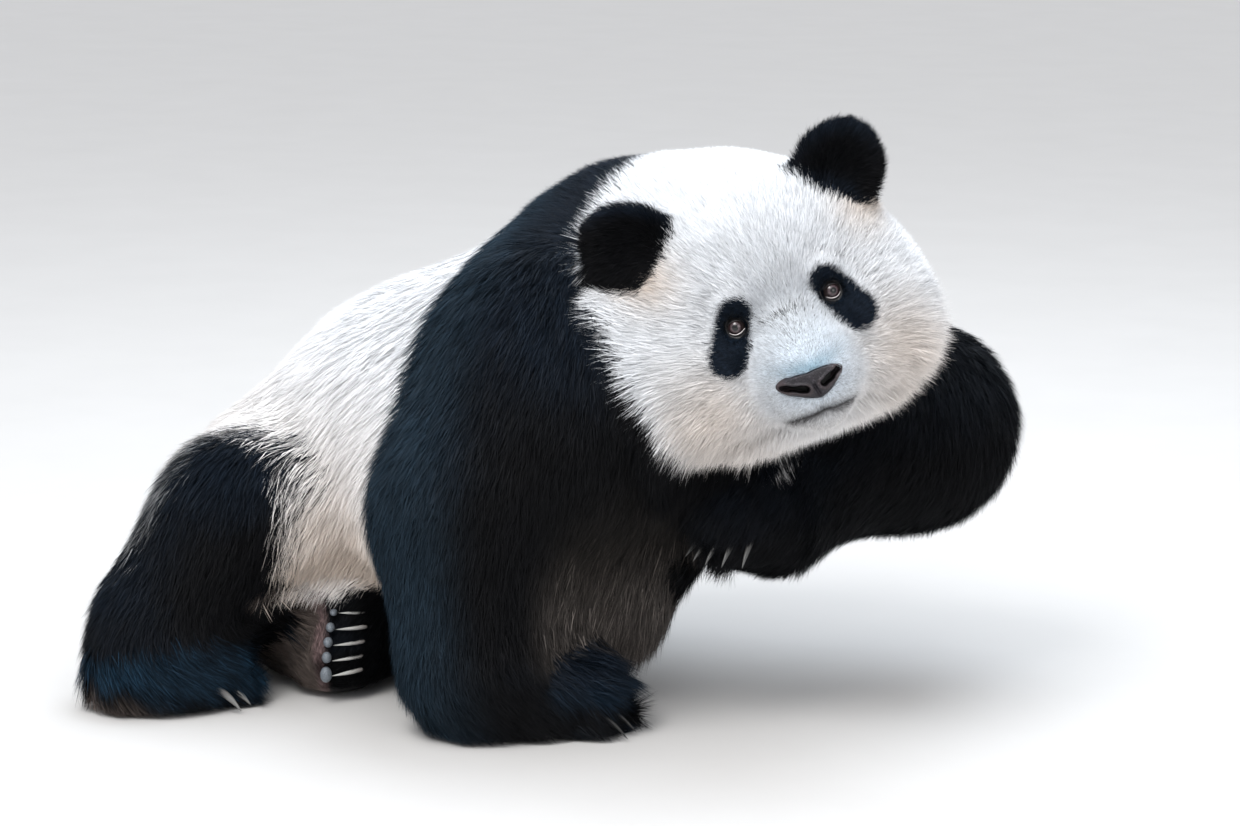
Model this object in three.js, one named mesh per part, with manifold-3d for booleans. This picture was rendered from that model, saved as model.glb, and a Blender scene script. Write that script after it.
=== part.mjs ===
// Giant panda: a still, life-size museum model. It half sits, leaning forward on its right foreleg,
// with the left foreleg folded before its chest and the head turned to its right.
// Every surface is the outline at the tips of the coat. Millimetres; the panda faces +X, its left
// side is +Y, and the floor is Z = 0.

import * as THREE from "three";
import Module from "manifold-3d";
import { mergeVertices } from "three/addons/utils/BufferGeometryUtils.js";

const wasm = await Module();
wasm.setup();
const { Manifold, Mesh } = wasm;

// Driving dimensions, all over the coat
const trunkDepth = 384;         // back to belly
const trunkWidth = 436;         // flank to flank
const trunkSlope = 30;          // degrees that the back rises towards the withers
const headWidth = 306;          // cheek to cheek
const eyeSpacing = 102;         // centre to centre
const eyeRadius = 11;
const earRadius = 59;
const noseWidth = 63;
const upperArmRadius = 106;
const forearmRadius = 92;
const thighRadius = 132;
const shankRadius = 92;
const clawLength = 38;
const clawRadius = 5.5;
const tailLength = 125;
const gap = 0.3;                // clearance between neighbouring solids
const sliver = 0.02;            // facets thinner than this are closed up
const bodyCell = 43;            // size of the facets on the body
const headCell = 25;          // and on the head

// Head: where the point between the eyes is, and how the head is turned, in degrees
const browHeight = 481;
const headYaw = -57.5;
const headPitch = 6;
const headRoll = 20.5;

const vector = (x, y, z) => new THREE.Vector3(x, y, z);
const radians = THREE.MathUtils.degToRad;
const mirror = (p) => vector(p.x, -p.y, p.z);

// ---------------------------------------------------------------------------------------------
// Fields: functions of a point that are negative inside a shape and grow with distance from it

// A limb length between two round ends.
function bone(start, end, startRadius, endRadius) {
  const along = end.clone().sub(start);
  const offset = vector(0, 0, 0);
  return (p) => {
    const t = THREE.MathUtils.clamp(offset.subVectors(p, start).dot(along) / along.lengthSq(), 0, 1);
    return offset.addScaledVector(along, -t).length() - THREE.MathUtils.lerp(startRadius, endRadius, t);
  };
}

// An ellipsoid with radii along the axes of a turned frame.
function lobe(centre, radii, turn = new THREE.Matrix4()) {
  const back = turn.clone().invert();
  const local = vector(0, 0, 0);
  return (p) => {
    const scaled = local.subVectors(p, centre).applyMatrix4(back).divide(radii).length();
    const steep = local.divide(radii).length();
    return steep < 1e-9 ? -Math.min(radii.x, radii.y, radii.z) : scaled * (scaled - 1) / steep;
  };
}

// Shapes that flow into each other over a given width.
function blend(width, ...fields) {
  return (p) => fields.map((field) => field(p)).reduce((near, next) => {
    const overlap = Math.max(width - Math.abs(near - next), 0) / width;
    return Math.min(near, next) - overlap * overlap * width / 4;
  });
}

// A shape with another pressed softly out of it.
function dent(width, field, press) {
  return (p) => {
    const [a, b] = [field(p), -press(p)];
    const overlap = Math.max(width - Math.abs(a - b), 0) / width;
    return Math.max(a, b) + overlap * overlap * width / 4;
  };
}

// ---------------------------------------------------------------------------------------------
// Facets: a closed mesh on the zero surface of a field, one point in each cell that it crosses

function facets(field, low, high, cell) {
  const counts = vector(0, 0, 0).subVectors(high, low).divideScalar(cell).ceil().addScalar(1);
  const number = (i, j, k) => (k * counts.y + j) * counts.x + i;
  const values = [];
  for (let k = 0; k < counts.z; k++) {
    for (let j = 0; j < counts.y; j++) {
      for (let i = 0; i < counts.x; i++) {
        values.push(field(vector(i, j, k).multiplyScalar(cell).add(low)));
      }
    }
  }
  const corners = [0, 1, 2, 3, 4, 5, 6, 7].map((c) => vector(c & 1, (c >> 1) & 1, c >> 2));
  const edges = [];
  for (let c = 0; c < 8; c++) {
    for (const bit of [1, 2, 4]) {
      if (!(c & bit)) edges.push([c, c | bit]);
    }
  }

  const points = [];
  const pointOf = new Map();
  for (let k = 0; k < counts.z - 1; k++) {
    for (let j = 0; j < counts.y - 1; j++) {
      for (let i = 0; i < counts.x - 1; i++) {
        const at = corners.map((c) => values[number(i + c.x, j + c.y, k + c.z)]);
        const crossed = edges.filter(([a, b]) => (at[a] < 0) !== (at[b] < 0));
        if (crossed.length === 0) continue;
        const middle = vector(0, 0, 0);
        for (const [a, b] of crossed) {
          middle.add(corners[a].clone().lerp(corners[b], at[a] / (at[a] - at[b])));
        }
        middle.divideScalar(crossed.length).add(vector(i, j, k)).multiplyScalar(cell).add(low);
        pointOf.set(number(i, j, k), points.length);
        points.push(settle(field, middle, cell));
      }
    }
  }

  const steps = [vector(1, 0, 0), vector(0, 1, 0), vector(0, 0, 1)];
  const triangles = [];
  for (let k = 0; k < counts.z - 1; k++) {
    for (let j = 0; j < counts.y - 1; j++) {
      for (let i = 0; i < counts.x - 1; i++) {
        steps.forEach((step, axis) => {
          const inside = values[number(i, j, k)] < 0;
          if (inside === values[number(i + step.x, j + step.y, k + step.z)] < 0) return;
          const [u, w] = [steps[(axis + 1) % 3], steps[(axis + 2) % 3]];
          const ring = [[0, 0], [1, 0], [1, 1], [0, 1]].map(([a, b]) => pointOf.get(
            number(i - a * u.x - b * w.x, j - a * u.y - b * w.y, k - a * u.z - b * w.z)));
          if (!inside) ring.reverse();
          const [p, q, r, s] = ring;
          const short = points[p].distanceTo(points[r]) < points[q].distanceTo(points[s]);
          triangles.push(...(short ? [p, q, r, p, r, s] : [q, r, s, q, s, p]));
        });
      }
    }
  }
  const flat = points.flatMap((p) => [p.x, p.y, p.z]);
  return new Manifold(new Mesh({
    numProp: 3,
    vertProperties: new Float32Array(flat),
    triVerts: new Uint32Array(triangles),
  }));
}

// Moves a point onto the zero surface along the slope of the field.
function settle(field, point, cell) {
  const slope = vector(0, 0, 0);
  const reach = 1;
  for (let pass = 0; pass < 4; pass++) {
    for (const axis of ["x", "y", "z"]) {
      const [ahead, behind] = [point.clone(), point.clone()];
      ahead[axis] += reach;
      behind[axis] -= reach;
      slope[axis] = (field(ahead) - field(behind)) / (2 * reach);
    }
    const move = -field(point) / Math.max(slope.lengthSq(), 0.2);
    point.addScaledVector(slope, THREE.MathUtils.clamp(move, -cell / 4, cell / 4));
  }
  return point;
}

// ---------------------------------------------------------------------------------------------
// Solids from three.js geometry

function solid(geometry, matrix = new THREE.Matrix4(), weld = 1e-4) {
  const shape = geometry.clone().applyMatrix4(matrix);
  shape.deleteAttribute("normal");
  shape.deleteAttribute("uv");
  const welded = mergeVertices(shape, weld);
  const corners = [];
  for (let i = 0; i < welded.index.count; i += 3) {
    const [a, b, c] = welded.index.array.slice(i, i + 3);
    if (a !== b && b !== c && c !== a) corners.push(a, b, c);
  }
  return new Manifold(new Mesh({
    numProp: 3,
    vertProperties: new Float32Array(welded.attributes.position.array),
    triVerts: new Uint32Array(corners),
  }));
}

// A manifold solid as three.js geometry.
function surfaceOf(shape) {
  const { vertProperties, triVerts } = shape.getMesh();
  const geometry = new THREE.BufferGeometry();
  geometry.setAttribute("position", new THREE.BufferAttribute(vertProperties, 3));
  geometry.setIndex(new THREE.BufferAttribute(triVerts, 1));
  geometry.computeVertexNormals();
  return geometry;
}

const largest = (shape) => shape.decompose().sort((a, b) => b.volume() - a.volume())[0];

// A block that keeps everything ahead of a plane, out to a given reach round its point.
function ahead(point, direction, reach, shift) {
  const side = 2 * reach;
  const matrix = new THREE.Matrix4().compose(
    point.clone().addScaledVector(direction, reach + shift),
    new THREE.Quaternion().setFromUnitVectors(vector(0, 0, 1), direction),
    vector(1, 1, 1));
  return solid(new THREE.BoxGeometry(side, side, side), matrix);
}

// Parts a shape at the inner faces of a block: what is inside the block, and the rest.
function partedBy(shape, planes) {
  const block = (shift) => planes
    .map(([point, direction]) => ahead(point, direction.clone().normalize(), 900, shift))
    .reduce((kept, next) => kept.intersect(next));
  return [largest(shape.intersect(block(gap / 2))), largest(shape.subtract(block(-gap / 2)))];
}

// ---------------------------------------------------------------------------------------------
// Head frame: forward out of the face, to the animal's left, and up

const face = vector(
  Math.cos(radians(headPitch)) * Math.cos(radians(headYaw)),
  Math.cos(radians(headPitch)) * Math.sin(radians(headYaw)),
  Math.sin(radians(headPitch)));
const level = vector(0, 0, 1).cross(face).normalize();
const upright = face.clone().cross(level);
const headLeft = level.clone().applyAxisAngle(face, radians(headRoll));
const headUp = upright.clone().applyAxisAngle(face, radians(headRoll));
const brow = vector(275, -142, browHeight);
const headTurn = new THREE.Matrix4().makeBasis(face, headLeft, headUp);
const onHead = (forward, left, up) => brow.clone()
  .addScaledVector(face, forward)
  .addScaledVector(headLeft, left)
  .addScaledVector(headUp, up);
const headLobe = (forward, left, up, radii) => lobe(onHead(forward, left, up), vector(...radii), headTurn);

const halfHead = headWidth / 2;
const cheek = (side) => headLobe(-98, side * (halfHead - 77), -42, [84, 84, 88]);
const skull = blend(45,
  headLobe(-116, 0, 12, [122, halfHead - 8, 140]),
  cheek(1),
  cheek(-1),
  headLobe(-84, 0, -74, [92, 104, 54]),
  headLobe(-58, 0, 34, [58, 92, 70]));
const muzzle = blend(26,
  bone(onHead(-40, 0, -46), onHead(26, 0, -72), 58, 43),
  bone(onHead(-30, 0, -94), onHead(20, 0, -98), 38, 29));
const eyePlace = (side) => onHead(-13, side * eyeSpacing / 2, 0);
const socket = (side) => headLobe(10, side * (eyeSpacing / 2 + 2), -2, [18, 19, 14]);
const head = dent(14, dent(14, blend(30, skull, muzzle), socket(1)), socket(-1));

// ---------------------------------------------------------------------------------------------
// Body

const tilt = (degrees) => new THREE.Matrix4().makeRotationY(-radians(degrees));
const turned = (degrees) => new THREE.Matrix4().makeRotationZ(radians(degrees));
const halfDepth = trunkDepth / 2;
const halfWidth = trunkWidth / 2;

const trunk = blend(90,
  lobe(vector(-412, 10, 140), vector(164, halfWidth - 16, halfDepth - 24), tilt(18)),
  lobe(vector(-222, 0, 274), vector(245, halfWidth - 4, halfDepth - 4), tilt(trunkSlope)),
  lobe(vector(0, 4, 380), vector(190, halfWidth - 38, halfDepth - 6), tilt(trunkSlope + 5)),
  lobe(vector(-8, -6, 222), vector(106, 120, 178)));
const neck = bone(vector(46, 20, 456), vector(128, 8, 480), 149, 141);

const shoulder = vector(-2, -140, 388);
const elbow = vector(-76, -190, 262);
const wrist = vector(-66, -200, 104);
const rightArm = blend(70,
  lobe(shoulder, vector(126, 106, 134), tilt(trunkSlope)),
  bone(vector(30, -150, 350), elbow, upperArmRadius, forearmRadius + 4),
  bone(elbow, wrist, forearmRadius + 6, forearmRadius - 2));
const pawMiddle = vector(6, -160, 39);
const pawTurn = 34;
const rightPaw = blend(20,
  lobe(pawMiddle, vector(102, 62, 45), turned(pawTurn)),
  lobe(vector(-58, -203, 52), vector(72, 66, 60), turned(pawTurn)));

const leftElbow = vector(256, 205, 299);
const leftWrist = vector(188, 34, 236);
const leftArm = blend(60,
  lobe(mirror(shoulder), vector(122, 102, 130), tilt(trunkSlope)),
  bone(vector(96, 142, 396), leftElbow, upperArmRadius, upperArmRadius + 10),
  bone(leftElbow, leftWrist, forearmRadius - 2, forearmRadius - 24));
const leftPawMiddle = vector(184, -18, 226);
const leftPaw = lobe(leftPawMiddle, vector(46, 84, 48), turned(-12));

const rightKnee = vector(-366, -212, 214);
const rightAnkle = vector(-424, -272, 94);
const rightLeg = blend(60,
  bone(vector(-400, -92, 152), rightKnee, thighRadius - 24, thighRadius - 52),
  bone(rightKnee, rightAnkle, thighRadius - 56, shankRadius - 8));
const footMiddle = vector(-406, -284, 38);
const footTurn = 36;
const rightFoot = blend(20,
  lobe(footMiddle, vector(98, 56, 45), turned(footTurn)),
  lobe(vector(-440, -302, 44), vector(62, 54, 54), turned(footTurn)));

const leftKnee = vector(-196, 168, 93);
const leftAnkle = vector(-300, -50, 76);
const leftLeg = blend(60,
  bone(vector(-420, 105, 160), leftKnee, thighRadius - 6, thighRadius - 32),
  bone(leftKnee, leftAnkle, shankRadius, shankRadius - 24));
const leftSole = vector(-262, -130, 53);
const leftFoot = blend(20,
  lobe(leftSole, vector(42, 84, 58), turned(-8)),
  lobe(vector(-308, -120, 27), vector(58, 66, 34), turned(-8)));

const body = (p) => Math.min(
  blend(70, blend(80, trunk, neck), blend(30, rightArm, rightPaw))(p),
  blend(60, trunk, blend(30, rightLeg, rightFoot))(p),
  blend(60, trunk, blend(30, leftLeg, leftFoot))(p),
  blend(60, trunk, leftArm, leftPaw)(p));
const whole = blend(36, body, head);

// ---------------------------------------------------------------------------------------------
// The animal as one piece, cut level where it rests, then parted

const floor = (shape) => shape.intersect(ahead(vector(0, 0, 0), vector(0, 0, 1), 1500, 0));
const coarse = floor(facets(whole, vector(-720, -460, -50), vector(480, 430, 720), bodyCell));
const headMiddle = onHead(-70, 0, -20);
const headReach = vector(354, 354, 354);
const aroundHead = lobe(headMiddle, vector(310, 310, 310));
const fine = facets((p) => Math.max(whole(p), aroundHead(p)),
  headMiddle.clone().sub(headReach), headMiddle.clone().add(headReach), headCell);

const flesh = {};
const headPlanes = [
  [vector(62, -10, 440), vector(0.93, -0.34, 0.12)],
  [vector(61, -103, 410), vector(0.82, 0.49, 0.3)],
  [vector(150, -68, 286), vector(-0.33, 0, 0.94)],
  [vector(215, 104, 430), vector(0.1, -0.75, 0.65)],
];
let rest = coarse;
[flesh.head] = partedBy(fine, headPlanes);
[, rest] = partedBy(rest, headPlanes);

// Each name with the planes that its part is ahead of.
const partings = [
  ["left_foreleg", [[vector(108, 0, 240), vector(1, 0.32, -0.2)]]],
  ["right_foreleg", [
    [vector(-30, -112, 300), vector(0, -1, -0.14)],
    [vector(-195, 0, 150), vector(1, 0, -0.3)]]],
  ["right_hind_leg", [
    [vector(-349, -189, 40), vector(-0.4, -0.86, 0.3)],
    [vector(-288, -200, 200), vector(-1, 0, 0.25)],
    [vector(-380, -150, 300), vector(-0.3, -0.35, -0.89)]]],
  ["left_hind_foot", [
    [vector(-280, -60, 100), vector(0.1, -0.25, -0.96)],
    [vector(-385, -60, 80), vector(0.95, -0.3, 0)],
    [vector(-200, 95, 98), vector(0.3, -0.95, 0)],
    [vector(-150, -60, 60), vector(-1, 0, 0)]]],
  ["left_hind_leg", [
    [vector(-300, 108, 150), vector(0.1, 0.87, -0.5)],
    [vector(-88, 150, 150), vector(-1, 0, 0)],
    [vector(-300, 150, 262), vector(0, 0.2, -0.98)]]],
  ["neck", [[vector(-10, 0, 470), vector(0.7, 0, 0.7)]]],
  ["chest", [[vector(-230, 0, 280), vector(1, 0, 0.5)]]],
];
for (const [name, planes] of partings) {
  [flesh[name], rest] = partedBy(rest, planes);
}
flesh.rump = rest;
[flesh.left_forepaw, flesh.left_foreleg] = partedBy(flesh.left_foreleg,
  [[leftWrist, leftWrist.clone().sub(leftElbow)]]);
[flesh.right_forepaw, flesh.right_foreleg] = partedBy(flesh.right_foreleg,
  [[vector(-60, -200, 92), vector(0.15, 0, -1)]]);
[flesh.right_hind_foot, flesh.right_hind_leg] = partedBy(flesh.right_hind_leg,
  [[vector(-440, -290, 92), vector(0.2, 0, -1)]]);

// ---------------------------------------------------------------------------------------------
// Eyes, nose, ears, tail and claws: each sits in a socket of its own, a gap wider than itself

const pieces = {};

// The same solid with every corner moved out a little.
function swollen(shape, amount) {
  const geometry = surfaceOf(shape);
  const { position, normal } = geometry.attributes;
  for (let i = 0; i < position.count; i++) {
    const out = vector(0, 0, 0).fromBufferAttribute(normal, i).multiplyScalar(amount);
    const moved = vector(0, 0, 0).fromBufferAttribute(position, i).add(out);
    position.setXYZ(i, moved.x, moved.y, moved.z);
  }
  return solid(geometry);
}

function seat(name, shape, room, ...hosts) {
  pieces[name] = shape;
  for (const host of hosts) flesh[host] = largest(flesh[host].subtract(room));
}

const seatClosely = (name, shape, ...hosts) => seat(name, shape, swollen(shape, 1.5 * gap), ...hosts);

const sides = [["right", -1], ["left", 1]];
const boxRound = (field, centre, reach, cell) => facets(field,
  centre.clone().subScalar(reach), centre.clone().addScalar(reach), cell);

// The right ear is laid a little further out and back than the left one.
const earPlace = { left: onHead(-68, 104, 108), right: onHead(-68, -119, 109) };
const earSwing = { left: 2, right: -14 };

for (const [side, sign] of sides) {
  const eyeball = new THREE.SphereGeometry(eyeRadius, 12, 8);
  const funnel = new THREE.CylinderGeometry(2.2 * eyeRadius, eyeRadius, 3 * eyeRadius, 8);
  funnel.rotateZ(-Math.PI / 2);
  funnel.translate(1.5 * eyeRadius, 0, 0);
  const eyeTurn = headTurn.clone().setPosition(eyePlace(sign));
  flesh.head = flesh.head.subtract(solid(funnel, eyeTurn));
  seatClosely(`eye_${side}`, solid(eyeball, eyeTurn), "head");

  const earMiddle = earPlace[side];
  const earTurn = headTurn.clone()
    .multiply(new THREE.Matrix4().makeRotationX(radians(-sign * 42)))
    .multiply(new THREE.Matrix4().makeRotationZ(radians(earSwing[side])));
  const cup = vector(earRadius * 0.6, 0, -earRadius * 0.02).applyMatrix4(earTurn).add(earMiddle);
  const ear = dent(6,
    lobe(earMiddle, vector(earRadius * 0.41, earRadius * 0.85, earRadius), earTurn),
    lobe(cup, vector(earRadius * 0.38, earRadius * 0.5, earRadius * 0.6), earTurn));
  seatClosely(`ear_${side}`, boxRound(ear, earMiddle, earRadius * 1.3, 14.5), "head", "neck", `${side}_foreleg`);
}

const noseMiddle = onHead(56, 0, -66);
const nose = blend(8,
  lobe(noseMiddle, vector(18, noseWidth / 2, 13), headTurn),
  lobe(onHead(55, 0, -78), vector(16, noseWidth / 4, 14), headTurn));
seatClosely("nose", boxRound(nose, noseMiddle, 42, 11), "head");

const tailRoot = vector(-536, 10, 136);
const tailTip = vector(-566, 10, 136 - tailLength * 0.6);
const tail = bone(tailRoot, tailTip, 40, 34);
seatClosely("tail", boxRound(tail, tailRoot.clone().lerp(tailTip, 0.5), 110, 26), "rump");

// A claw is a cone bent along an arc, from its root in the toe out to the tip. Its room is the
// same cone with a margin all round.
function claw(root, out, curl, margin) {
  const length = clawLength + 4 * margin;
  const cone = new THREE.CylinderGeometry(0, clawRadius + 2 * margin, length, 4, 2);
  cone.translate(0, length / 2 - margin, 0);
  const bend = clawLength / radians(62);
  const { position } = cone.attributes;
  for (let i = 0; i < position.count; i++) {
    const angle = position.getY(i) / bend;
    const across = position.getX(i);
    position.setXYZ(i,
      bend * (1 - Math.cos(angle)) + across * Math.cos(angle),
      bend * Math.sin(angle) - across * Math.sin(angle),
      position.getZ(i));
  }
  const outward = out.clone().normalize();
  const down = curl.clone().addScaledVector(outward, -curl.dot(outward)).normalize();
  return solid(cone, new THREE.Matrix4()
    .makeBasis(down, outward, down.clone().cross(outward)).setPosition(root));
}

// Five claws across a paw: forward out of the toes, across the paw, fanned out, and curled down.
function claws(name, host, middle, forward, across, curl, reach, spread, fan = 0.35) {
  for (let toe = 1; toe <= 5; toe++) {
    const aside = (toe - 3) / 2;
    const root = middle.clone()
      .addScaledVector(forward, reach * (1 - 0.2 * aside * aside))
      .addScaledVector(across, spread * aside);
    const out = forward.clone().addScaledVector(across, fan * aside).addScaledVector(curl, 0.12);
    seat(`claw_${name}_${toe}`, claw(root, out, curl, 0), claw(root, out, curl, gap), host);
  }
}

const heading = (degrees) => vector(Math.cos(radians(degrees)), Math.sin(radians(degrees)), 0);
const downward = vector(0, 0, -1);
claws("right_fore", "right_forepaw", pawMiddle.clone().setZ(26),
  heading(pawTurn), heading(pawTurn + 90), downward, 67, 40);
claws("left_fore", "left_forepaw", leftPawMiddle.clone().setZ(214),
  heading(-102), heading(-12), downward, 62, 30);
claws("right_hind", "right_hind_foot", footMiddle.clone().setZ(26),
  heading(footTurn), heading(footTurn + 90), downward, 62, 36);
// The left hind foot stands on its outer edge, and its claws lie across its front.
claws("left_hind", "left_hind_foot", vector(-238, -142, 68),
  heading(-82), vector(0, 0.26, 0.97), heading(143), 20, 32, 0.06);

// ---------------------------------------------------------------------------------------------
// Scene

const coats = {
  black: [0x17171c, 0.85],
  white: [0xe6e1dc, 0.9],
  eye: [0x1c1210, 0.15],
  nose: [0x3c3638, 0.45],
  claw: [0xb9ac98, 0.4],
};
const coatOf = (name) => {
  if (name.startsWith("eye")) return "eye";
  if (name.startsWith("claw")) return "claw";
  if (name === "nose") return "nose";
  return ["head", "neck", "rump", "tail"].includes(name) ? "white" : "black";
};

const group = new THREE.Group();
group.name = "giant_panda";
for (const [name, shape] of Object.entries({ ...flesh, ...pieces })) {
  const geometry = surfaceOf(solid(surfaceOf(shape), undefined, sliver));
  const [color, roughness] = coats[coatOf(name)];
  const mesh = new THREE.Mesh(geometry, new THREE.MeshStandardMaterial({ color, roughness, metalness: 0 }));
  mesh.name = name;
  group.add(mesh);
}

// The origin is under the middle of the animal, on the floor.
const extent = new THREE.Box3().setFromObject(group);
const middle = extent.getCenter(vector(0, 0, 0));
group.position.set(-middle.x, -middle.y, -extent.min.z);

export default group;
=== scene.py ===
"""A life-size still model of a giant panda: skin, coat, face, claws, floor, light and camera."""

import math

import bmesh
import bpy
import numpy as np
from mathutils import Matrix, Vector
from mathutils.bvhtree import BVHTree


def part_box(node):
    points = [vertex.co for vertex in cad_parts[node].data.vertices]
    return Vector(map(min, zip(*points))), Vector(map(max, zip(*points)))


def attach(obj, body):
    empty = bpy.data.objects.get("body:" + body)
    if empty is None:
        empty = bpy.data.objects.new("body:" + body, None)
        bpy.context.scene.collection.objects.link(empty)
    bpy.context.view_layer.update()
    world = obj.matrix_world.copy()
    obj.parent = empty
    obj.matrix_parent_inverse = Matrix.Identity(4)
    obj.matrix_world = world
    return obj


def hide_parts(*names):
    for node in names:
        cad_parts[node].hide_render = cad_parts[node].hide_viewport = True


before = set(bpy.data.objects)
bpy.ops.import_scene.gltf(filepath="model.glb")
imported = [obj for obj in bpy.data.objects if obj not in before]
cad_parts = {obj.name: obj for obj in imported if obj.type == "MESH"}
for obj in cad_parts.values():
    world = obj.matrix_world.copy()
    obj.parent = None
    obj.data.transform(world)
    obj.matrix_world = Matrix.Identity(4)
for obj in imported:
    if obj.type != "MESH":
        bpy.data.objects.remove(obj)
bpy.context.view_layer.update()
rng = np.random.default_rng(11)

# ---- the animal's own points, in metres
FLESH = [
    "head", "neck", "chest", "rump", "tail", "ear_left", "ear_right",
    "left_foreleg", "left_forepaw", "right_foreleg", "right_forepaw",
    "right_hind_leg", "right_hind_foot", "left_hind_leg", "left_hind_foot",
]
CODE = {name: code for code, name in enumerate(FLESH)}
EARS = ("ear_left", "ear_right")
FORELEGS = ("left_foreleg", "left_forepaw", "right_foreleg", "right_forepaw")
PAWS = ("left_forepaw", "right_forepaw", "right_hind_foot", "left_hind_foot")
DOWN = np.array([0, 0, -1.0])


def middle(name):
    low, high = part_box(name)
    return np.array((low + high) / 2)


def unit(v):
    v = np.asarray(v, float)
    return v / np.maximum(np.linalg.norm(v, axis=-1, keepdims=True), 1e-9)


def apart(points, other):
    return np.linalg.norm(points - other, axis=1)


def bump(x, width):
    return np.exp(-((x / width) ** 2))


def step(low, high, x):
    t = np.clip((x - low) / (high - low), 0, 1)
    return t * t * (3 - 2 * t)


def mix(a, b, t):
    return a + (b - a) * t


def along_segment(points, start, end):
    """How far along a segment each point lies, from 0 to 1, and its distance from the segment."""
    run = end - start
    t = np.clip((points - start) @ run / (run @ run), 0, 1)
    return t, np.linalg.norm(points - start - t[..., None] * run, axis=-1)


def turns(count):
    """Angles once round a circle."""
    return np.arange(count) * 2 * math.pi / count


def read(values, field, width, kind=np.float32):
    """One field of a Blender collection as rows of an array."""
    out = np.empty(len(values) * width, kind)
    values.foreach_get(field, out)
    return out.reshape(-1, width)


def node_arrays(name):
    """Welded corners and triangles of one CAD node."""
    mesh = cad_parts[name].data
    mesh.calc_loop_triangles()
    corners = read(mesh.vertices, "co", 3).astype(float)
    key, index = np.unique(np.round(corners * 1e6).astype(np.int64), axis=0, return_inverse=True)
    return key / 1e6, index.ravel()[read(mesh.loop_triangles, "vertices", 3, np.int32)]


# The head's own axes: forward out of the face, to the animal's left, and up out of the crown.
EYES = {"right": middle("eye_right"), "left": middle("eye_left")}
NOSE_FALL = math.radians(45)
EYE_SETBACK = 0.013
head_left = unit(EYES["left"] - EYES["right"])
between_eyes = (EYES["left"] + EYES["right"]) / 2
to_nose = node_arrays("nose")[0].mean(0) - between_eyes
to_nose = unit(to_nose - head_left * (to_nose @ head_left))
head_front = math.cos(NOSE_FALL) * to_nose + math.sin(NOSE_FALL) * np.cross(to_nose, head_left)
head_up = np.cross(head_front, head_left)
BROW = between_eyes + EYE_SETBACK * head_front
HEAD_AXES = np.array([head_front, head_left, head_up])


def to_head(points):
    return (np.asarray(points, float) - BROW) @ HEAD_AXES.T


def from_head(points):
    return np.asarray(points, float) @ HEAD_AXES + BROW


NOSE_TIP = from_head([0.066, 0, -0.072])
NOSE_MIDDLE, NOSE_HALF, NOSE_TOP, NOSE_LOW = -0.0720, 0.0350, 0.0130, 0.0180
NOSE_RISE, NOSE_LEAN, NOSE_ASIDE = 0.135, 0.20, 0.0030
NOSE_FRONT, NOSE_BACK = 0.0700, 0.050
NOSTRIL_INNER, NOSTRIL_OUTER = np.array([0.0098, -0.0034]), np.array([0.0290, 0.0042])
FACE_MIDDLE, FACE_REACH = np.array([0.02, 0, -0.05]), 0.14
EYE_RADIUS, CORNEA = 0.0108, 0.0007
GAZE_OUT, GAZE_UP = 0.22, 0.04
SOCKET_FLOOR, SOCKET_RIM = 0.0030, 0.0098
# The line of bone down each limb, which the hair over it follows.
JOINTS = {
    "right_foreleg": [(0.080, -0.090, 0.560), (0.108, -0.118, 0.388), (0.034, -0.168, 0.262),
                      (0.044, -0.178, 0.104)],
    "right_forepaw": [(0.044, -0.178, 0.104), (0.116, -0.138, 0.039), (0.190, -0.088, 0.020)],
    "left_foreleg": [(0.080, 0.130, 0.540), (0.206, 0.164, 0.396), (0.372, 0.227, 0.282),
                     (0.298, 0.056, 0.236)],
    "left_forepaw": [(0.298, 0.056, 0.236), (0.294, 0.004, 0.226), (0.290, -0.050, 0.200)],
    "right_hind_leg": [(-0.290, -0.070, 0.300), (-0.274, -0.193, 0.216), (-0.314, -0.250, 0.094)],
    "right_hind_foot": [(-0.350, -0.290, 0.060), (-0.296, -0.262, 0.038), (-0.217, -0.204, 0.020)],
    "left_hind_leg": [(-0.310, 0.127, 0.160), (-0.086, 0.190, 0.093), (-0.190, -0.028, 0.076)],
    "left_hind_foot": [(-0.190, -0.028, 0.076), (-0.152, -0.108, 0.053), (-0.140, -0.150, 0.050)],
    "tail": [(-0.420, 0.032, 0.150), (-0.456, 0.032, 0.040)],
}

# The coat of each part: depth over the skin, length of hair, width of a tuft, and how close the tufts stand.
COAT = {
    "head": (0.012, 0.024, 0.0011, 46),
    "neck": (0.015, 0.036, 0.0011, 27),
    "chest": (0.017, 0.046, 0.0013, 14),
    "rump": (0.017, 0.042, 0.0012, 16),
    "tail": (0.014, 0.040, 0.0015, 14),
    "ear_left": (0.008, 0.0125, 0.0009, 66),
    "ear_right": (0.009, 0.0125, 0.0009, 66),
    "left_foreleg": (0.014, 0.034, 0.0012, 16),
    "right_foreleg": (0.014, 0.034, 0.0012, 18),
    "left_forepaw": (0.008, 0.030, 0.0012, 26),
    "right_forepaw": (0.009, 0.036, 0.0012, 26),
    "right_hind_leg": (0.014, 0.034, 0.0012, 18),
    "left_hind_leg": (0.014, 0.034, 0.0012, 13),
    "right_hind_foot": (0.009, 0.036, 0.0012, 26),
    "left_hind_foot": (0.004, 0.012, 0.0010, 40),
}
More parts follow.
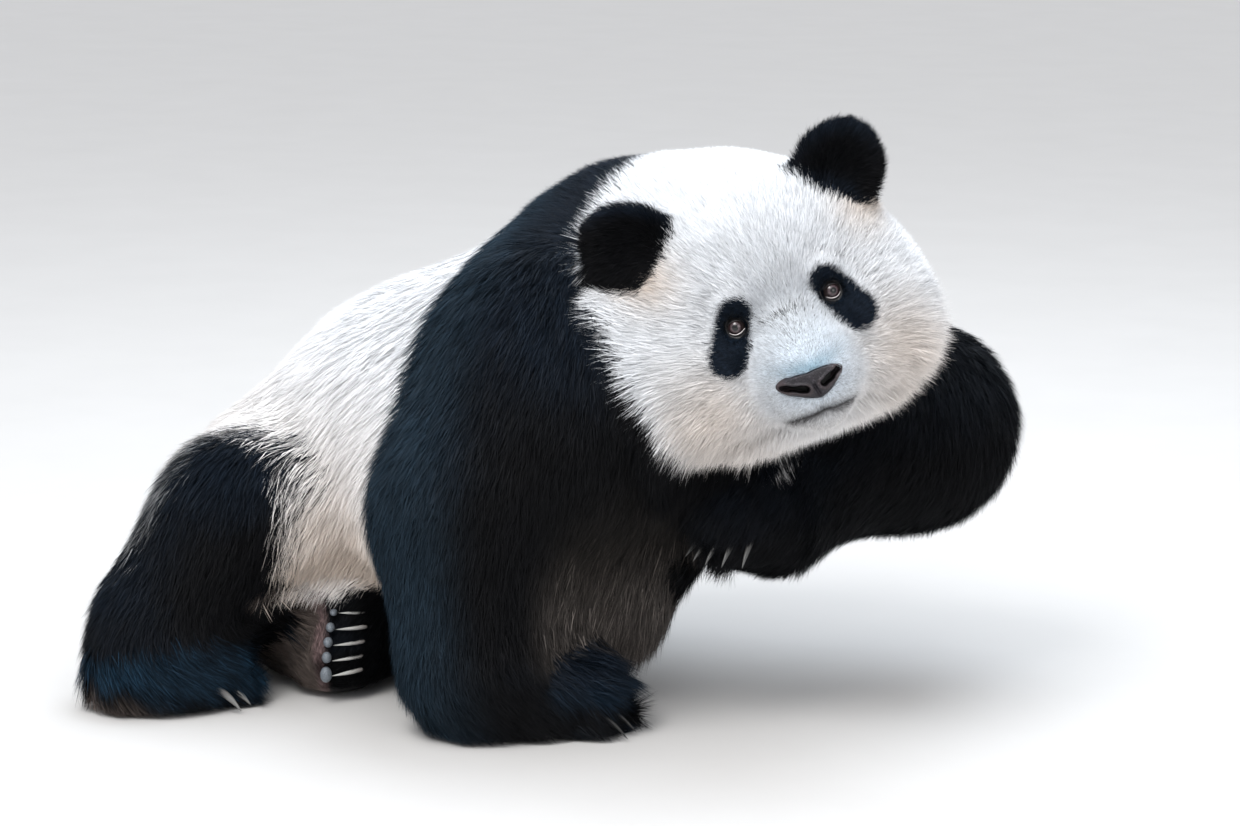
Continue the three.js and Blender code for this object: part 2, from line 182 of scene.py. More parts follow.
# The same over the head, at these distances from the nose.
FACE_STEPS = [0.02, 0.05, 0.08, 0.10, 0.13, 0.17, 0.22, 0.28]
FACE_DEPTH = [0.0012, 0.0020, 0.0040, 0.0070, 0.0100, 0.0120, 0.0135, 0.0150]
FACE_LENGTH = [0.0040, 0.0070, 0.0110, 0.0150, 0.0195, 0.0245, 0.0290, 0.0330]
FACE_WIDTH = [0.0007, 0.0007, 0.0008, 0.0008, 0.0009, 0.0010, 0.0011, 0.0012]
FACE_DENSITY = [160, 150, 130, 104, 82, 62, 46, 34]
EYE_PATCH_COAT = (0.0026, 0.0062, 0.0008, 120.0)
SKIN_VOXEL, SKIN_LOWEST = 0.0060, 0.0015
SKIN_SWELL = 0.0006         # enough for neighbouring solids to run into each other
FACE_FINE = [(from_head(FACE_MIDDLE), 0.135), (from_head([0.04, 0, -0.06]), 0.078)]


def claw_line(name):
    """Root, bend, tip and thickness of one claw's plain solid."""
    corners = node_arrays(name)[0]
    tip = corners[np.argmax(apart(corners, corners.mean(0)))]
    order = np.argsort(-apart(corners, tip))
    root_end, bend = corners[order[:4]].mean(0), corners[order[4:-1]].mean(0)
    return root_end, bend, tip, apart(corners[order[:4]], root_end).mean()


CLAWS = {name: claw_line(name) for name in sorted(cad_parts) if name.startswith("claw")}
SOLE_PLACE = np.mean([CLAWS[f"claw_left_hind_{toe}"][2] for toe in range(1, 6)], axis=0)
SOLE_SIDE = unit([-0.866, -0.5, 0])


def part_mask(part, *names):
    return np.isin(part, [CODE[n] for n in names])


# ---- one skin from all the nodes of flesh


def placed(name, data):
    """A new object in the scene."""
    obj = bpy.data.objects.new(name, data)
    bpy.context.scene.collection.objects.link(obj)
    return obj


def mesh_object(name, corners, faces, smooth=True):
    """A mesh from arrays; faces is an (n, k) array of corner numbers, or a list of such arrays."""
    groups = faces if isinstance(faces, list) else [faces]
    mesh = bpy.data.meshes.new(name)
    loops = np.concatenate([g.ravel() for g in groups]).astype(np.int32)
    sizes = np.concatenate([np.full(len(g), g.shape[1]) for g in groups]).astype(np.int32)
    mesh.vertices.add(len(corners))
    mesh.vertices.foreach_set("co", np.asarray(corners, np.float32).ravel())
    mesh.loops.add(len(loops))
    mesh.loops.foreach_set("vertex_index", loops)
    mesh.polygons.add(len(sizes))
    mesh.polygons.foreach_set("loop_start", np.concatenate([[0], np.cumsum(sizes)[:-1]]).astype(np.int32))
    mesh.polygons.foreach_set("use_smooth", np.full(len(sizes), smooth))
    mesh.update(calc_edges=True)
    return placed(name, mesh)


def face_normals(corners, faces):
    """Normals of triangles, each as long as its triangle is large."""
    first, second, third = (corners[faces[:, k]] for k in range(3))
    return np.cross(second - first, third - first) / 2


def corner_normals(corners, faces):
    normals = face_normals(corners, faces)
    total = np.zeros_like(corners)
    for k in range(3):
        for axis in range(3):
            total[:, axis] += np.bincount(faces[:, k], normals[:, axis], len(corners))
    return unit(total)


def gather(names, swell):
    """The named nodes as one set of arrays, each pushed out so that neighbours run into each other."""
    all_corners, all_faces, owner, count = [], [], [], 0
    for name in names:
        corners, faces = node_arrays(name)
        corners = corners + corner_normals(corners, faces) * swell
        all_corners.append(corners)
        all_faces.append(faces + count)
        owner.append(np.full(len(faces), CODE.get(name, 0)))
        count += len(corners)
    return np.concatenate(all_corners), np.concatenate(all_faces), np.concatenate(owner)


def remeshed(corners, faces, voxel):
    source = mesh_object("source", corners, faces)
    modifier = source.modifiers.new("voxels", "REMESH")
    modifier.mode, modifier.voxel_size = "VOXEL", voxel
    shape = source.evaluated_get(bpy.context.evaluated_depsgraph_get()).to_mesh()
    corners = read(shape.vertices, "co", 3).astype(float)
    quads = read(shape.loops, "vertex_index", 1, np.int32).reshape(-1, 4)
    bpy.data.objects.remove(source)
    return largest_part(corners, quads)


def refined(corners, faces, rings):
    """Splits the faces near each (centre, reach) of rings in four, in turn, and returns triangles."""
    work = mesh_object("work", corners, faces)
    grid = bmesh.new()
    grid.from_mesh(work.data)
    for centre, reach in rings:
        centre = Vector(centre)
        near = {e for q in grid.faces if (q.calc_center_median() - centre).length < reach for e in q.edges}
        bmesh.ops.subdivide_edges(grid, edges=sorted(near, key=lambda e: e.index), cuts=1, use_grid_fill=True)
        grid.edges.index_update()
        grid.faces.index_update()
    bmesh.ops.triangulate(grid, faces=grid.faces)
    grid.to_mesh(work.data)
    grid.free()
    corners = read(work.data.vertices, "co", 3).astype(float)
    triangles = read(work.data.loops, "vertex_index", 1, np.int32).reshape(-1, 3)
    bpy.data.objects.remove(work)
    return corners, triangles


def side_pairs(faces):
    """The two corners of every side of every face."""
    sides = faces.shape[1]
    return np.concatenate([faces[:, [k, (k + 1) % sides]] for k in range(sides)])


def largest_part(corners, faces):
    """Drops any loose scrap, keeping the piece with the most corners."""
    label = np.arange(len(corners))
    edges = side_pairs(faces)
    before = None
    while before is None or (label != before).any():
        before = label.copy()
        low = np.minimum(label[edges[:, 0]], label[edges[:, 1]])
        np.minimum.at(label, edges[:, 0], low)
        np.minimum.at(label, edges[:, 1], low)
        label = label[label]
    keep = label == np.bincount(label).argmax()
    number = np.cumsum(keep) - 1
    faces = faces[keep[faces[:, 0]]]
    return corners[keep], number[faces]


class Surface:
    """A closed mesh with helpers to smooth values over it."""

    def __init__(self, corners, faces):
        self.corners, self.faces = corners, faces
        pairs = np.unique(np.sort(side_pairs(faces), axis=1), axis=0)
        self.a, self.b = pairs[:, 0], pairs[:, 1]
        n = len(corners)
        self.degree = np.bincount(self.a, minlength=n) + np.bincount(self.b, minlength=n)

    def average(self, values):
        """Mean of each corner's neighbours, for a number or a vector at each corner."""
        n = len(self.corners)
        columns = values.reshape(n, -1)
        out = np.empty_like(columns)
        for k in range(columns.shape[1]):
            c = columns[:, k]
            out[:, k] = np.bincount(self.a, c[self.b], n) + np.bincount(self.b, c[self.a], n)
        return (out / self.degree[:, None]).reshape(values.shape)

    def smoothed(self, values, rounds):
        """Values drawn half the way to their neighbours' mean, again and again."""
        for _ in range(rounds):
            values = values + (self.average(values) - values) * 0.5
        return values

    def relax(self, rounds, share):
        """Smooths the shape by a share that may differ over the surface, without shrinking it much."""
        share = np.reshape(share, (-1, 1))
        for _ in range(rounds):
            self.corners = self.corners + (self.average(self.corners) - self.corners) * share
            self.corners = self.corners - (self.average(self.corners) - self.corners) * share * 1.02

    def normals(self):
        return corner_normals(self.corners, self.faces)


# ---- markings, and the sheen, skylight and shade painted into the coat's colour
WHITE_COOL = np.array([0.85, 0.87, 0.90])
# White blue: painted skylight on the lit muzzle.
WHITE_BLUE = np.array([0.70, 0.80, 0.90])
WHITE_WARM = np.array([0.76, 0.64, 0.54])
BLACK = np.array([0.0042, 0.0043, 0.0052])
# Blue-black, the blue of the feet and the blue sheen: painted sheen of skylight on black fur.
BLUE_BLACK = np.array([0.0070, 0.0150, 0.028])
BLUE_FOOT = np.array([0.013, 0.040, 0.072])
BLUE_SHEEN = np.array([0.017, 0.033, 0.050])
# Nose blue: painted blue-grey shade just above the nose.
NOSE_BLUE = np.array([0.15, 0.29, 0.38])
BROWN = np.array([0.015, 0.013, 0.0115])
BREAST_GREY = np.array([0.060, 0.052, 0.047])
GREY_BROWN = np.array([0.125, 0.100, 0.088])
SOLE_PINK = np.array([0.20, 0.135, 0.135])
LIP = np.array([0.018, 0.0132, 0.0144])
THIGH_GREY = np.array([0.24, 0.245, 0.25])

FRONT_EDGE = 0.4240       # x + 0.47 z where the black of the shoulders ends and the white neck starts
REAR_EDGE = 0.002         # x where the black of the shoulders ends and the white flank starts
PATCH_HIGH = np.array([0.048, 0.012])
PATCH_LOW = np.array([0.070, -0.028])
PATCH_HALF = 0.0178
HIP, OUT_OF_HIP = np.array([-0.290, -0.070, 0.152]), unit([0.11, -0.88, 0.46])
EAR_FOOT = 0.040          # how far from the middle of an ear the black runs onto the head


def eye_patch(head_points):
    """Signed distance to the black patch round each eye, in the plane of the face."""
    flat = np.stack([np.abs(head_points[:, 1]), head_points[:, 2]], 1)
    t, gap = along_segment(flat, PATCH_HIGH, PATCH_LOW)
    return gap - PATCH_HALF - 0.0015 * t


def nose_outline(angle):
    """Edge of the bare nose from the front: a level top, wings that rise a little and a blunt point below."""
    right = np.abs(np.cos(angle))
    up = np.sin(angle) - NOSE_RISE * right

    def curve(tall, power):
        return 1 / ((right / NOSE_HALF) ** power + (np.abs(up) / tall) ** power) ** (1 / power)

    return np.where(up > 0, curve(NOSE_TOP, 2.1), curve(NOSE_LOW, 1.5))


def nose_share(head_points):
    """How far points lie from the middle of the bare nose, as a share of the way to its edge."""
    height = head_points[:, 2] - NOSE_MIDDLE
    across = head_points[:, 1] + NOSE_ASIDE + NOSE_LEAN * height
    share = np.hypot(across, height) / nose_outline(np.arctan2(height, across))
    return share + 9.0 * (head_points[:, 0] < 0)


def mouth_line(across):
    """Height of the closed mouth in the head's axes."""
    return -0.1015 - 5.0 * across ** 2 - 0.0015 * bump(np.abs(across) - 0.012, 0.008)


def ahead_of_shoulders(points):
    """How far points lie ahead of the line where the black shoulders end and the white neck starts."""
    x, y, z = points.T
    behind_ear = 0.023 * bump(z - 0.505, 0.045)
    return x + 0.47 * z - FRONT_EDGE + behind_ear - 0.9 * np.maximum(y - 0.05, 0)


def breast(points, part):
    """1 where the brownish grey hair of the breast hangs between the forelegs."""
    x, y, z = points.T
    on_chest = (part == CODE["chest"]) & (x > -0.05)
    inner_leg = step(0.06, 0.12, x) * step(-0.215, -0.145, y) * step(0.074, 0.090, z)
    on_leg = np.where(part_mask(part, "right_foreleg", "right_forepaw"), inner_leg, 0.0)
    return np.where(on_chest, 1.0, on_leg) * step(0.36, 0.20, z)


def blackness(points, part):
    """1 where the coat is black, 0 where it is white, with soft edges."""
    x, y, z = points.T
    head_points = to_head(points)
    white_neck = step(-0.010, 0.010, ahead_of_shoulders(points))
    white_flank = step(0.012, -0.012, x - REAR_EDGE + 0.040 * bump(z - 0.400, 0.110))
    patches = step(0.0025, -0.0025, eye_patch(head_points)) * step(-0.06, -0.03, head_points[:, 0])
    for name in EARS:
        patches = np.maximum(patches, step(0.006, -0.006, apart(points, middle(name)) - EAR_FOOT))
    head = np.maximum((1 - white_neck) * (1 - white_flank), patches)
    trunk = (1 - white_flank) * part_mask(part, "chest", "rump")
    reach = (points - HIP) @ OUT_OF_HIP - (0.092 + (z - 0.113) * 0.58)
    reach = reach - 0.022 * bump(z - 0.190, 0.075) + 0.012 * step(0.24, 0.29, z)
    thigh = part_mask(part, "right_hind_leg", "rump") & (y < -0.08) & (x < -0.12)
    thigh = thigh * step(-0.030, 0.014, reach)
    left_leg = step(-0.28, -0.23, x + 0.5 * np.minimum(y - 0.12, 0)) * step(0.24, 0.20, z)
    areas = [
        (part_mask(part, "head", "neck"), head),
        (part_mask(part, "right_foreleg") & (z > 0.43), 1 - white_neck),
        (part_mask(part, *EARS, *FORELEGS, "right_hind_foot", "left_hind_foot"), np.ones(len(points))),
        (part_mask(part, "chest", "rump", "right_hind_leg"), np.maximum(trunk, thigh)),
        (part_mask(part, "left_hind_leg"), left_leg),
    ]
    return np.select(*zip(*areas))


def pelt(points, normals, part, black):
    """Colour of the coat at points on the skin, given how black it is there, with painted sheen, skylight and
    shade.
    """

    def tinted(colour, tint, share):
        return mix(colour, tint, share[:, None])

    x, y, z = points.T
    upward = normals[:, 2]
    head_points = to_head(points)
    hf, hl, hu = head_points.T
    aside = np.abs(hl)
    head_like = part_mask(part, "head", "neck")
    hind_foot, forepaw = part_mask(part, "right_hind_foot"), part_mask(part, "right_forepaw")

    cheek = 0.62 * bump(aside - 0.098, 0.042) * bump(hu + 0.078, 0.050)
    ear_base = 0.85 * bump(aside - 0.112, 0.028) * bump(hu - 0.070, 0.032)
    chin = 0.35 * bump(hl, 0.07) * bump(hu + 0.140, 0.025)
    jaw = 0.3 * bump(aside - 0.06, 0.05) * bump(hu + 0.13, 0.03)
    # Painted shade: on the body the white fur turns warm where it faces down, and warmer towards the bottom;
    # on the head a warm tint lies over the cheeks, ear bases, chin and jaw.
    shaded_low_side = 0.08 + 0.6 * step(0.4, -0.7, upward) + 0.30 * step(0.42, 0.24, z)
    warm = np.clip(np.where(head_like, cheek + ear_base + chin + jaw, shaded_low_side), 0, 1)
    # Painted skylight: the lit muzzle is tinted blue-white.
    lit_muzzle = bump(np.hypot(hl, hu + 0.060), 0.050) * step(-0.03, 0.0, hf) * step(-0.115, -0.085, hu)
    # Painted shade: a blue-grey band just above the bare nose.
    shade_above_nose = bump(hl, 0.032) * bump(hu + 0.057 - 0.12 * aside, 0.009) * (hf > 0)
    white = tinted(WHITE_COOL, WHITE_WARM, warm)
    white = tinted(white, WHITE_BLUE, 0.75 * lit_muzzle * head_like)
    white = tinted(white, NOSE_BLUE, 0.75 * shade_above_nose * head_like)

    # Painted sheen: black fur that faces up is tinted blue, most on the right hind foot and least on the left
    # foreleg and forepaw, and the black round the eyes takes some of the same.
    painted_sheen = np.where(hind_foot, 1.0, 0.5) * step(0.0, 0.7, upward)
    painted_sheen = painted_sheen * np.where(part_mask(part, "left_foreleg", "left_forepaw"), 0.4, 1.0)
    patch_sheen = step(0.012, 0.0, eye_patch(head_points)) * (hf > -0.06) * head_like
    painted_sheen = np.maximum(painted_sheen, 0.35 * patch_sheen)
    ragged = z + 0.007 * np.sin(190 * x + 3 * np.sin(70 * y))
    toes = step(-0.34, -0.27, x)
    lowest = 0.034 - 0.022 * toes
    # Painted sheen: a blue band low over the top of the right hind foot, and a little over the top of the
    # right forepaw.
    paw_sheen = hind_foot * step(-0.4, 0.2, upward) * step(lowest, lowest + 0.018, ragged)
    paw_sheen = paw_sheen + 0.28 * forepaw * step(-0.1, 0.5, upward) * step(0.07, 0.04, z)
    shoulder = part_mask(part, "chest", "neck", "right_foreleg", "right_forepaw") & (y < 0)
    # Painted sheen: on the right side the black of the shoulders turns blue near its rear edge by the white
    # flank, except where it faces forward.
    rear_sheen = shoulder * step(0.105, 0.015, x - REAR_EDGE) * step(0.7, 0.3, normals[:, 0])
    breast_hair = tinted(BROWN, BREAST_GREY, step(0.24, 0.12, z))
    beside = (points - SOLE_PLACE) @ SOLE_SIDE
    heel = np.where(part == CODE["left_hind_foot"], step(0.004, 0.016, beside), 0)
    sole = 0.75 * hind_foot * step(0.040, 0.014, ragged) * (1 - toes)
    dark = tinted(tinted(BLACK, BLUE_BLACK, painted_sheen), BLUE_FOOT, 0.68 * paw_sheen * step(0.096, 0.076, ragged))
    dark = tinted(dark, BLUE_SHEEN, 0.75 * rear_sheen)
    dark = tinted(dark, breast_hair, breast(points, part))
    dark = tinted(dark, GREY_BROWN, np.clip(heel + sole, 0, 1))
    dark = tinted(dark, SOLE_PINK, heel * step(0.028, 0.012, beside))

    near_mouth = bump(hu - mouth_line(hl), 0.0052) * step(-0.02, 0.0, hf) * step(0.043, 0.032, aside)
    return tinted(tinted(white, dark, black), LIP, near_mouth * (part == CODE["head"]))


flesh_corners, flesh_faces, flesh_owner = gather([*FLESH, "nose"], SKIN_SWELL)
tree = BVHTree.FromPolygons(flesh_corners.tolist(), flesh_faces.tolist())


def owners(points):
    return np.array([flesh_owner[tree.find_nearest(p)[2]] for p in points.tolist()])


coarse = Surface(*remeshed(flesh_corners, flesh_faces, SKIN_VOXEL))
coarse_part = owners(coarse.corners)
small = part_mask(coarse_part, *PAWS) + 0.5 * part_mask(coarse_part, *EARS)
small = coarse.smoothed(small, 6)[:, None]
coarse.relax(24, 0.5 * (1 - 0.7 * small))
coarse.corners = mix(coarse.smoothed(coarse.corners, 4), coarse.corners, small)
surface = Surface(*refined(coarse.corners, coarse.faces, FACE_FINE))
surface.corners = surface.smoothed(surface.corners, 3)
code = owners(surface.corners)

# ---- coat depth, length and lie at each corner of the skin
normal = surface.normals()
spot = surface.corners
in_head = to_head(spot)
f, l, u = in_head.T
near_head = surface.smoothed((code == CODE["head"]).astype(float), 10)
nose_distance = apart(spot, NOSE_TIP)


def coat_values(column, table, rounds=12):
    """A column of the coat over the skin, which on the head changes with the distance from the nose."""
    values = np.array([COAT[name][column] for name in FLESH], float)[code]
    return mix(surface.smoothed(values, rounds), np.interp(nose_distance, FACE_STEPS, table), near_head)


depth = coat_values(0, FACE_DEPTH)
length = coat_values(1, FACE_LENGTH)
tuft_width = coat_values(2, FACE_WIDTH)
density = coat_values(3, FACE_DENSITY, 6)
side_reach = np.hypot(l, np.minimum(f + 0.05, 0))
ruff = step(-0.025, -0.080, u) * step(0.060, 0.110, side_reach) * step(0.10, 0.15, nose_distance)
ruff = np.maximum(ruff, step(-0.105, -0.125, u) * step(0.03, -0.02, f)) * near_head
ahead = ahead_of_shoulders(spot)
near_neck = surface.smoothed(part_mask(code, "head", "neck").astype(float), 8)
collar = step(-0.012, 0.010, ahead) * step(0.095, 0.035, ahead) * step(0.62, 0.56, spot[:, 2]) * near_neck
forehead = step(-0.03, 0.02, u) * step(0.105, 0.065, np.abs(l)) * near_head
length = length * (1 - 0.26 * forehead) + 0.013 * ruff + 0.010 * collar * (1 - ruff)
depth = depth + 0.009 * ruff
patch_gap = eye_patch(in_head) + 0.2 * step(-0.03, -0.06, f)
bare = near_head * step(0.012, -0.004, patch_gap)
depth, length, tuft_width, density = (
    mix(values, thin, bare) for values, thin in zip((depth, length, tuft_width, density), EYE_PATCH_COAT))

chest_hair = surface.smoothed(breast(spot, code), 8)
length = length + 0.022 * chest_hair
length = length * (1 - 0.45 * part_mask(code, *EARS) * step(0.02, 0.40, near_head))
heel_hair = (code == CODE["left_hind_foot"]) * step(0.018, 0.040, (spot - SOLE_PLACE) @ SOLE_SIDE)
length = length + 0.014 * surface.smoothed(heel_hair, 4)
instep_hair = surface.smoothed((code == CODE["right_hind_foot"]) * bump(spot[:, 2] - 0.070, 0.030), 4)
length = length + 0.012 * instep_hair
depth = depth + 0.004 * instep_hair
under = step(0.035, 0.008, spot[:, 2]) * step(-0.2, -0.8, normal[:, 2])
depth = mix(depth, 0.001, under)


def along_bones(points, chain):
    """Direction of the nearest stretch of a chain of points, blended smoothly between stretches."""
    chain = np.array(chain)
    total = np.zeros_like(points)
    for start, end in zip(chain[:-1], chain[1:]):
        total += unit(end - start) * np.exp(-along_segment(points, start, end)[1] / 0.03)[:, None]
    return unit(total)


def tangent(vectors, normals):
    return unit(vectors - normals * (vectors * normals).sum(1, keepdims=True))


lie = np.tile(unit([-0.78, 0, -0.62]), (len(spot), 1))
for name, chain in JOINTS.items():
    own = code == CODE[name]
    lie[own] = along_bones(spot[own], chain)
lie[code == CODE["chest"]] = unit([-0.45, 0, -0.9])
own = part_mask(code, "head", "neck")
lie[own] = unit(spot[own] - NOSE_TIP)
for name in EARS:
    own = code == CODE[name]
    ear_root = mix(middle(name), from_head([-0.09, 0, 0]), 0.22)
    lie[own] = unit(spot[own] - ear_root)
lie = tangent(lie, normal)
for _ in range(14):
    lie = tangent(surface.smoothed(lie, 1), normal)
for name, (claw_root, claw_bend, claw_tip, _) in CLAWS.items():
    _, side, end, _ = name.split("_")
    paw = side + {"fore": "_forepaw", "hind": "_hind_foot"}[end]
    over_toe = bump(apart(spot, mix(claw_root, claw_bend, 0.5)), 0.020)
    over_toe = over_toe * (code == CODE[paw]) * (paw != "left_hind_foot")
    lie = unit(mix(lie, unit(claw_tip - claw_root), over_toe[:, None]))
    length = length + (0.010 if "right_fore" in name else 0.008) * over_toe
for side in ("left", "right"):
    round_eye = step(0.027, 0.013, apart(spot, EYES[side]))
    lie = mix(lie, unit(spot - EYES[side]), round_eye[:, None])
lie = tangent(lie, normal)
fall = 0.35 * (1 - near_head) + 0.25 * ruff
lie = tangent(lie + DOWN * fall[:, None], normal)

# ---- the skin's final shape
surface.corners = surface.corners - normal * depth[:, None]
surface.corners = surface.smoothed(surface.corners, 3)
surface.corners[:, 2] = np.maximum(surface.corners[:, 2], SKIN_LOWEST)


def eye_frame(side):
    """Centre of an eyeball, its gaze, and its own left and up, in the head's axes."""
    centre = to_head(EYES[side])
    outward = 1 if side == "left" else -1
    gaze = unit([1.0, GAZE_OUT * outward, GAZE_UP])
    across = unit(np.cross([0, 0, 1], gaze))
    return centre, gaze, across, np.cross(gaze, across)


def carve_face(points):
    """Sinks the eye sockets and the line of the mouth into the face. Points are in the head's axes."""
    for side in ("left", "right"):
        centre, gaze, across, above = eye_frame(side)
        rel = points - centre
        forward, right, top = rel @ gaze, rel @ across, rel @ above
        away = np.hypot(right, top)
        target = mix(SOCKET_FLOOR, SOCKET_RIM, step(0.0100, 0.0122, away))
        pull = step(0.024, 0.0140, away) * (forward > -0.02)
        points = points + gaze * ((target - forward) * pull)[:, None]
    ahead, across, height = points.T
    aside = np.abs(across)
    over_mouth = height - mouth_line(across)
    front = step(-0.035, -0.010, ahead) * step(0.046, 0.033, aside)
    groove = bump(over_mouth, 0.0032) * front
    lip = bump(over_mouth - 0.012, 0.008) * front * step(0.003, 0.012, aside)
    chin = bump(over_mouth + 0.012, 0.007) * front
    philtrum = bump(across, 0.0016) * step(-0.106, -0.100, height) * step(-0.075, -0.086, height)
    move = 0.0018 * lip + 0.0008 * chin - 0.0054 * groove - 0.0018 * philtrum * front
    move = move - 0.0240 * step(0.96, 0.72, nose_share(points))
    from_muzzle = np.hypot(across, (height + 0.074) * 0.95)
    beside = step(0.0, 0.045, aside) * step(0.02, -0.02, height) * step(-0.045, -0.020, ahead)
    move = move - 0.0115 * bump(from_muzzle - 0.058, 0.013) * beside
    move = move - 0.0030 * bump(across, 0.030) * bump(height - 0.002, 0.014)
    move = move - 0.0030 * bump(aside - 0.034, 0.010) * bump(height + 0.034, 0.018)
    move = move + 0.0026 * bump(aside - 0.030, 0.018) * bump(height - 0.036, 0.016)
    return points + np.outer(move, [1.0, 0, 0])


near_face = apart(to_head(surface.corners), FACE_MIDDLE) < FACE_REACH
surface.corners[near_face] = from_head(carve_face(to_head(surface.corners[near_face])))

skin = mesh_object("skin", surface.corners, surface.faces)
normal = surface.normals()

STORED = {1: ("FLOAT", "value"), 3: ("FLOAT_VECTOR", "vector"), 4: ("FLOAT_COLOR", "color")}


def store(obj, **fields):
    """Keeps a number, a vector or a colour at each corner of a piece, for its material to read."""
    for name, values in fields.items():
        kind, field = STORED[np.size(values) // len(obj.data.vertices)]
        attribute = obj.data.attributes.new(name, kind, "POINT")
        attribute.data.foreach_set(field, np.asarray(values, np.float32).ravel())


def with_alpha(colour):
    return np.concatenate([colour, np.ones((len(colour), 1))], 1)


skin_black = surface.smoothed(blackness(surface.corners, code), 2)
store(skin, pelt=with_alpha(pelt(surface.corners, normal, code, skin_black)))

bpy.context.view_layer.objects.active = skin
skin.select_set(True)
bpy.ops.object.mode_set(mode="EDIT")
bpy.ops.mesh.select_all(action="SELECT")
bpy.ops.uv.smart_project(angle_limit=math.radians(66), island_margin=0.002)
bpy.ops.object.mode_set(mode="OBJECT")
skin.data.uv_layers[0].name = "OFBake"
skin_uv = read(skin.data.uv_layers[0].data, "uv", 2).reshape(-1, 3, 2)
skin.select_set(False)

# ---- materials


class Nodes:
    """Short names for building a node material."""

    def __init__(self, name):
        self.material = bpy.data.materials.new(name)
        self.material.use_nodes = True
        self.tree = self.material.node_tree
        self.shader = self.tree.nodes["Principled BSDF"]

    def add(self, kind, **values):
        node = self.tree.nodes.new(kind)
        for key, value in values.items():
            setattr(node, key, value)
        return node

    def put(self, socket, value):
        if hasattr(value, "is_linked"):
            self.tree.links.new(value, socket)
        else:
            socket.default_value = value

    def fill(self, node, **values):
        """Sets or links the inputs of a node by name, with _ for a space."""
        for key, value in values.items():
            self.put(node.inputs[key.replace("_", " ")], value)
        return node

    def set(self, **values):
        self.fill(self.shader, **values)

    def attribute(self, name, output="Fac"):
        return self.add("ShaderNodeAttribute", attribute_name=name).outputs[output]

    def place(self):
        return self.add("ShaderNodeTexCoord").outputs["Object"]

    def noise(self, scale, detail=3.0, rough=0.6, vector=None):
        node = self.add("ShaderNodeTexNoise")
        self.fill(node, Scale=scale, Detail=detail, Roughness=rough, Vector=vector or self.place())
        return node.outputs["Fac"]

    def cells(self, scale):
        node = self.add("ShaderNodeTexVoronoi")
        return self.fill(node, Scale=scale, Vector=self.place()).outputs["Distance"]

    def ramp(self, value, low, high, out_low=0.0, out_high=1.0):
        node = self.add("ShaderNodeMapRange")
        self.fill(node, From_Min=low, From_Max=high, To_Min=out_low, To_Max=out_high, Value=value)
        return node.outputs["Result"]

    def times(self, product, *others):
        for other in others:
            node = self.add("ShaderNodeMath", operation="MULTIPLY")
            self.put(node.inputs[0], product)
            self.put(node.inputs[1], other)
            product = node.outputs[0]
        return product

    def tint(self, colour, factor):
        """colour times a grey factor."""
        node = self.add("ShaderNodeVectorMath", operation="SCALE")
        self.put(node.inputs[0], colour)
        return self.fill(node, Scale=factor).outputs[0]

    def mix(self, a, b, factor):
        node = self.add("ShaderNodeMix", data_type="RGBA")
        a, b = ((*value, 1) if isinstance(value, tuple) else value for value in (a, b))
        return self.fill(node, Factor=factor, A=a, B=b).outputs["Result"]

    def relief(self, height, strength, distance):
        node = self.fill(self.add("ShaderNodeBump"), Strength=strength, Distance=distance, Height=height)
        self.set(Normal=node.outputs["Normal"])


def coat_material(name, root_shade, strand_low, strand_high, roughness, sheen, sheen_tint, specular):
    m = Nodes(name)
    strands = m.noise(1.0, 2.0, 0.5, m.attribute("strand", "Vector"))
    patchy = m.noise(34.0, 4.0, 0.6)
    factor = m.times(m.ramp(strands, 0.3, 0.7, strand_low, strand_high), m.ramp(patchy, 0.3, 0.7, 0.90, 1.07),
                     m.ramp(m.attribute("along"), 0.0, 0.75, root_shade), m.attribute("tone"))
    m.set(Base_Color=m.tint(m.attribute("pelt", "Color"), factor), Specular_IOR_Level=specular,
          Roughness=m.ramp(strands, 0.2, 0.8, roughness - 0.08, roughness + 0.08),
          Sheen_Weight=sheen, Sheen_Tint=sheen_tint, Sheen_Roughness=0.45)
    return m.material


WHITE_COAT = coat_material("white_coat", 0.80, 0.95, 1.05, 0.70, 0.12, (0.95, 0.98, 1.0, 1.0), 0.25)
BLACK_COAT = coat_material("black_coat", 0.60, 0.75, 1.25, 0.60, 0.012, (0.50, 0.75, 1.0, 1.0), 0.09)


def skin_material():
    m = Nodes("skin")
    streaks = m.noise(420.0, 4.0, 0.65)
    factor = m.times(m.ramp(streaks, 0.3, 0.7, 0.80), m.ramp(m.noise(30.0, 4.0), 0.3, 0.7, 0.92, 1.04))
    m.set(Base_Color=m.tint(m.attribute("pelt", "Color"), factor),
          Roughness=m.ramp(streaks, 0.3, 0.7, 0.7, 0.9))
    m.relief(streaks, 0.6, 0.002)
    return m.material


def dressed(obj, material, nodes):
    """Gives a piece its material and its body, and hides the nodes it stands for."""
    obj.data.materials.append(material)
    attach(obj, "root")
    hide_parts(*nodes)
    return obj


dressed(skin, skin_material(), FLESH)

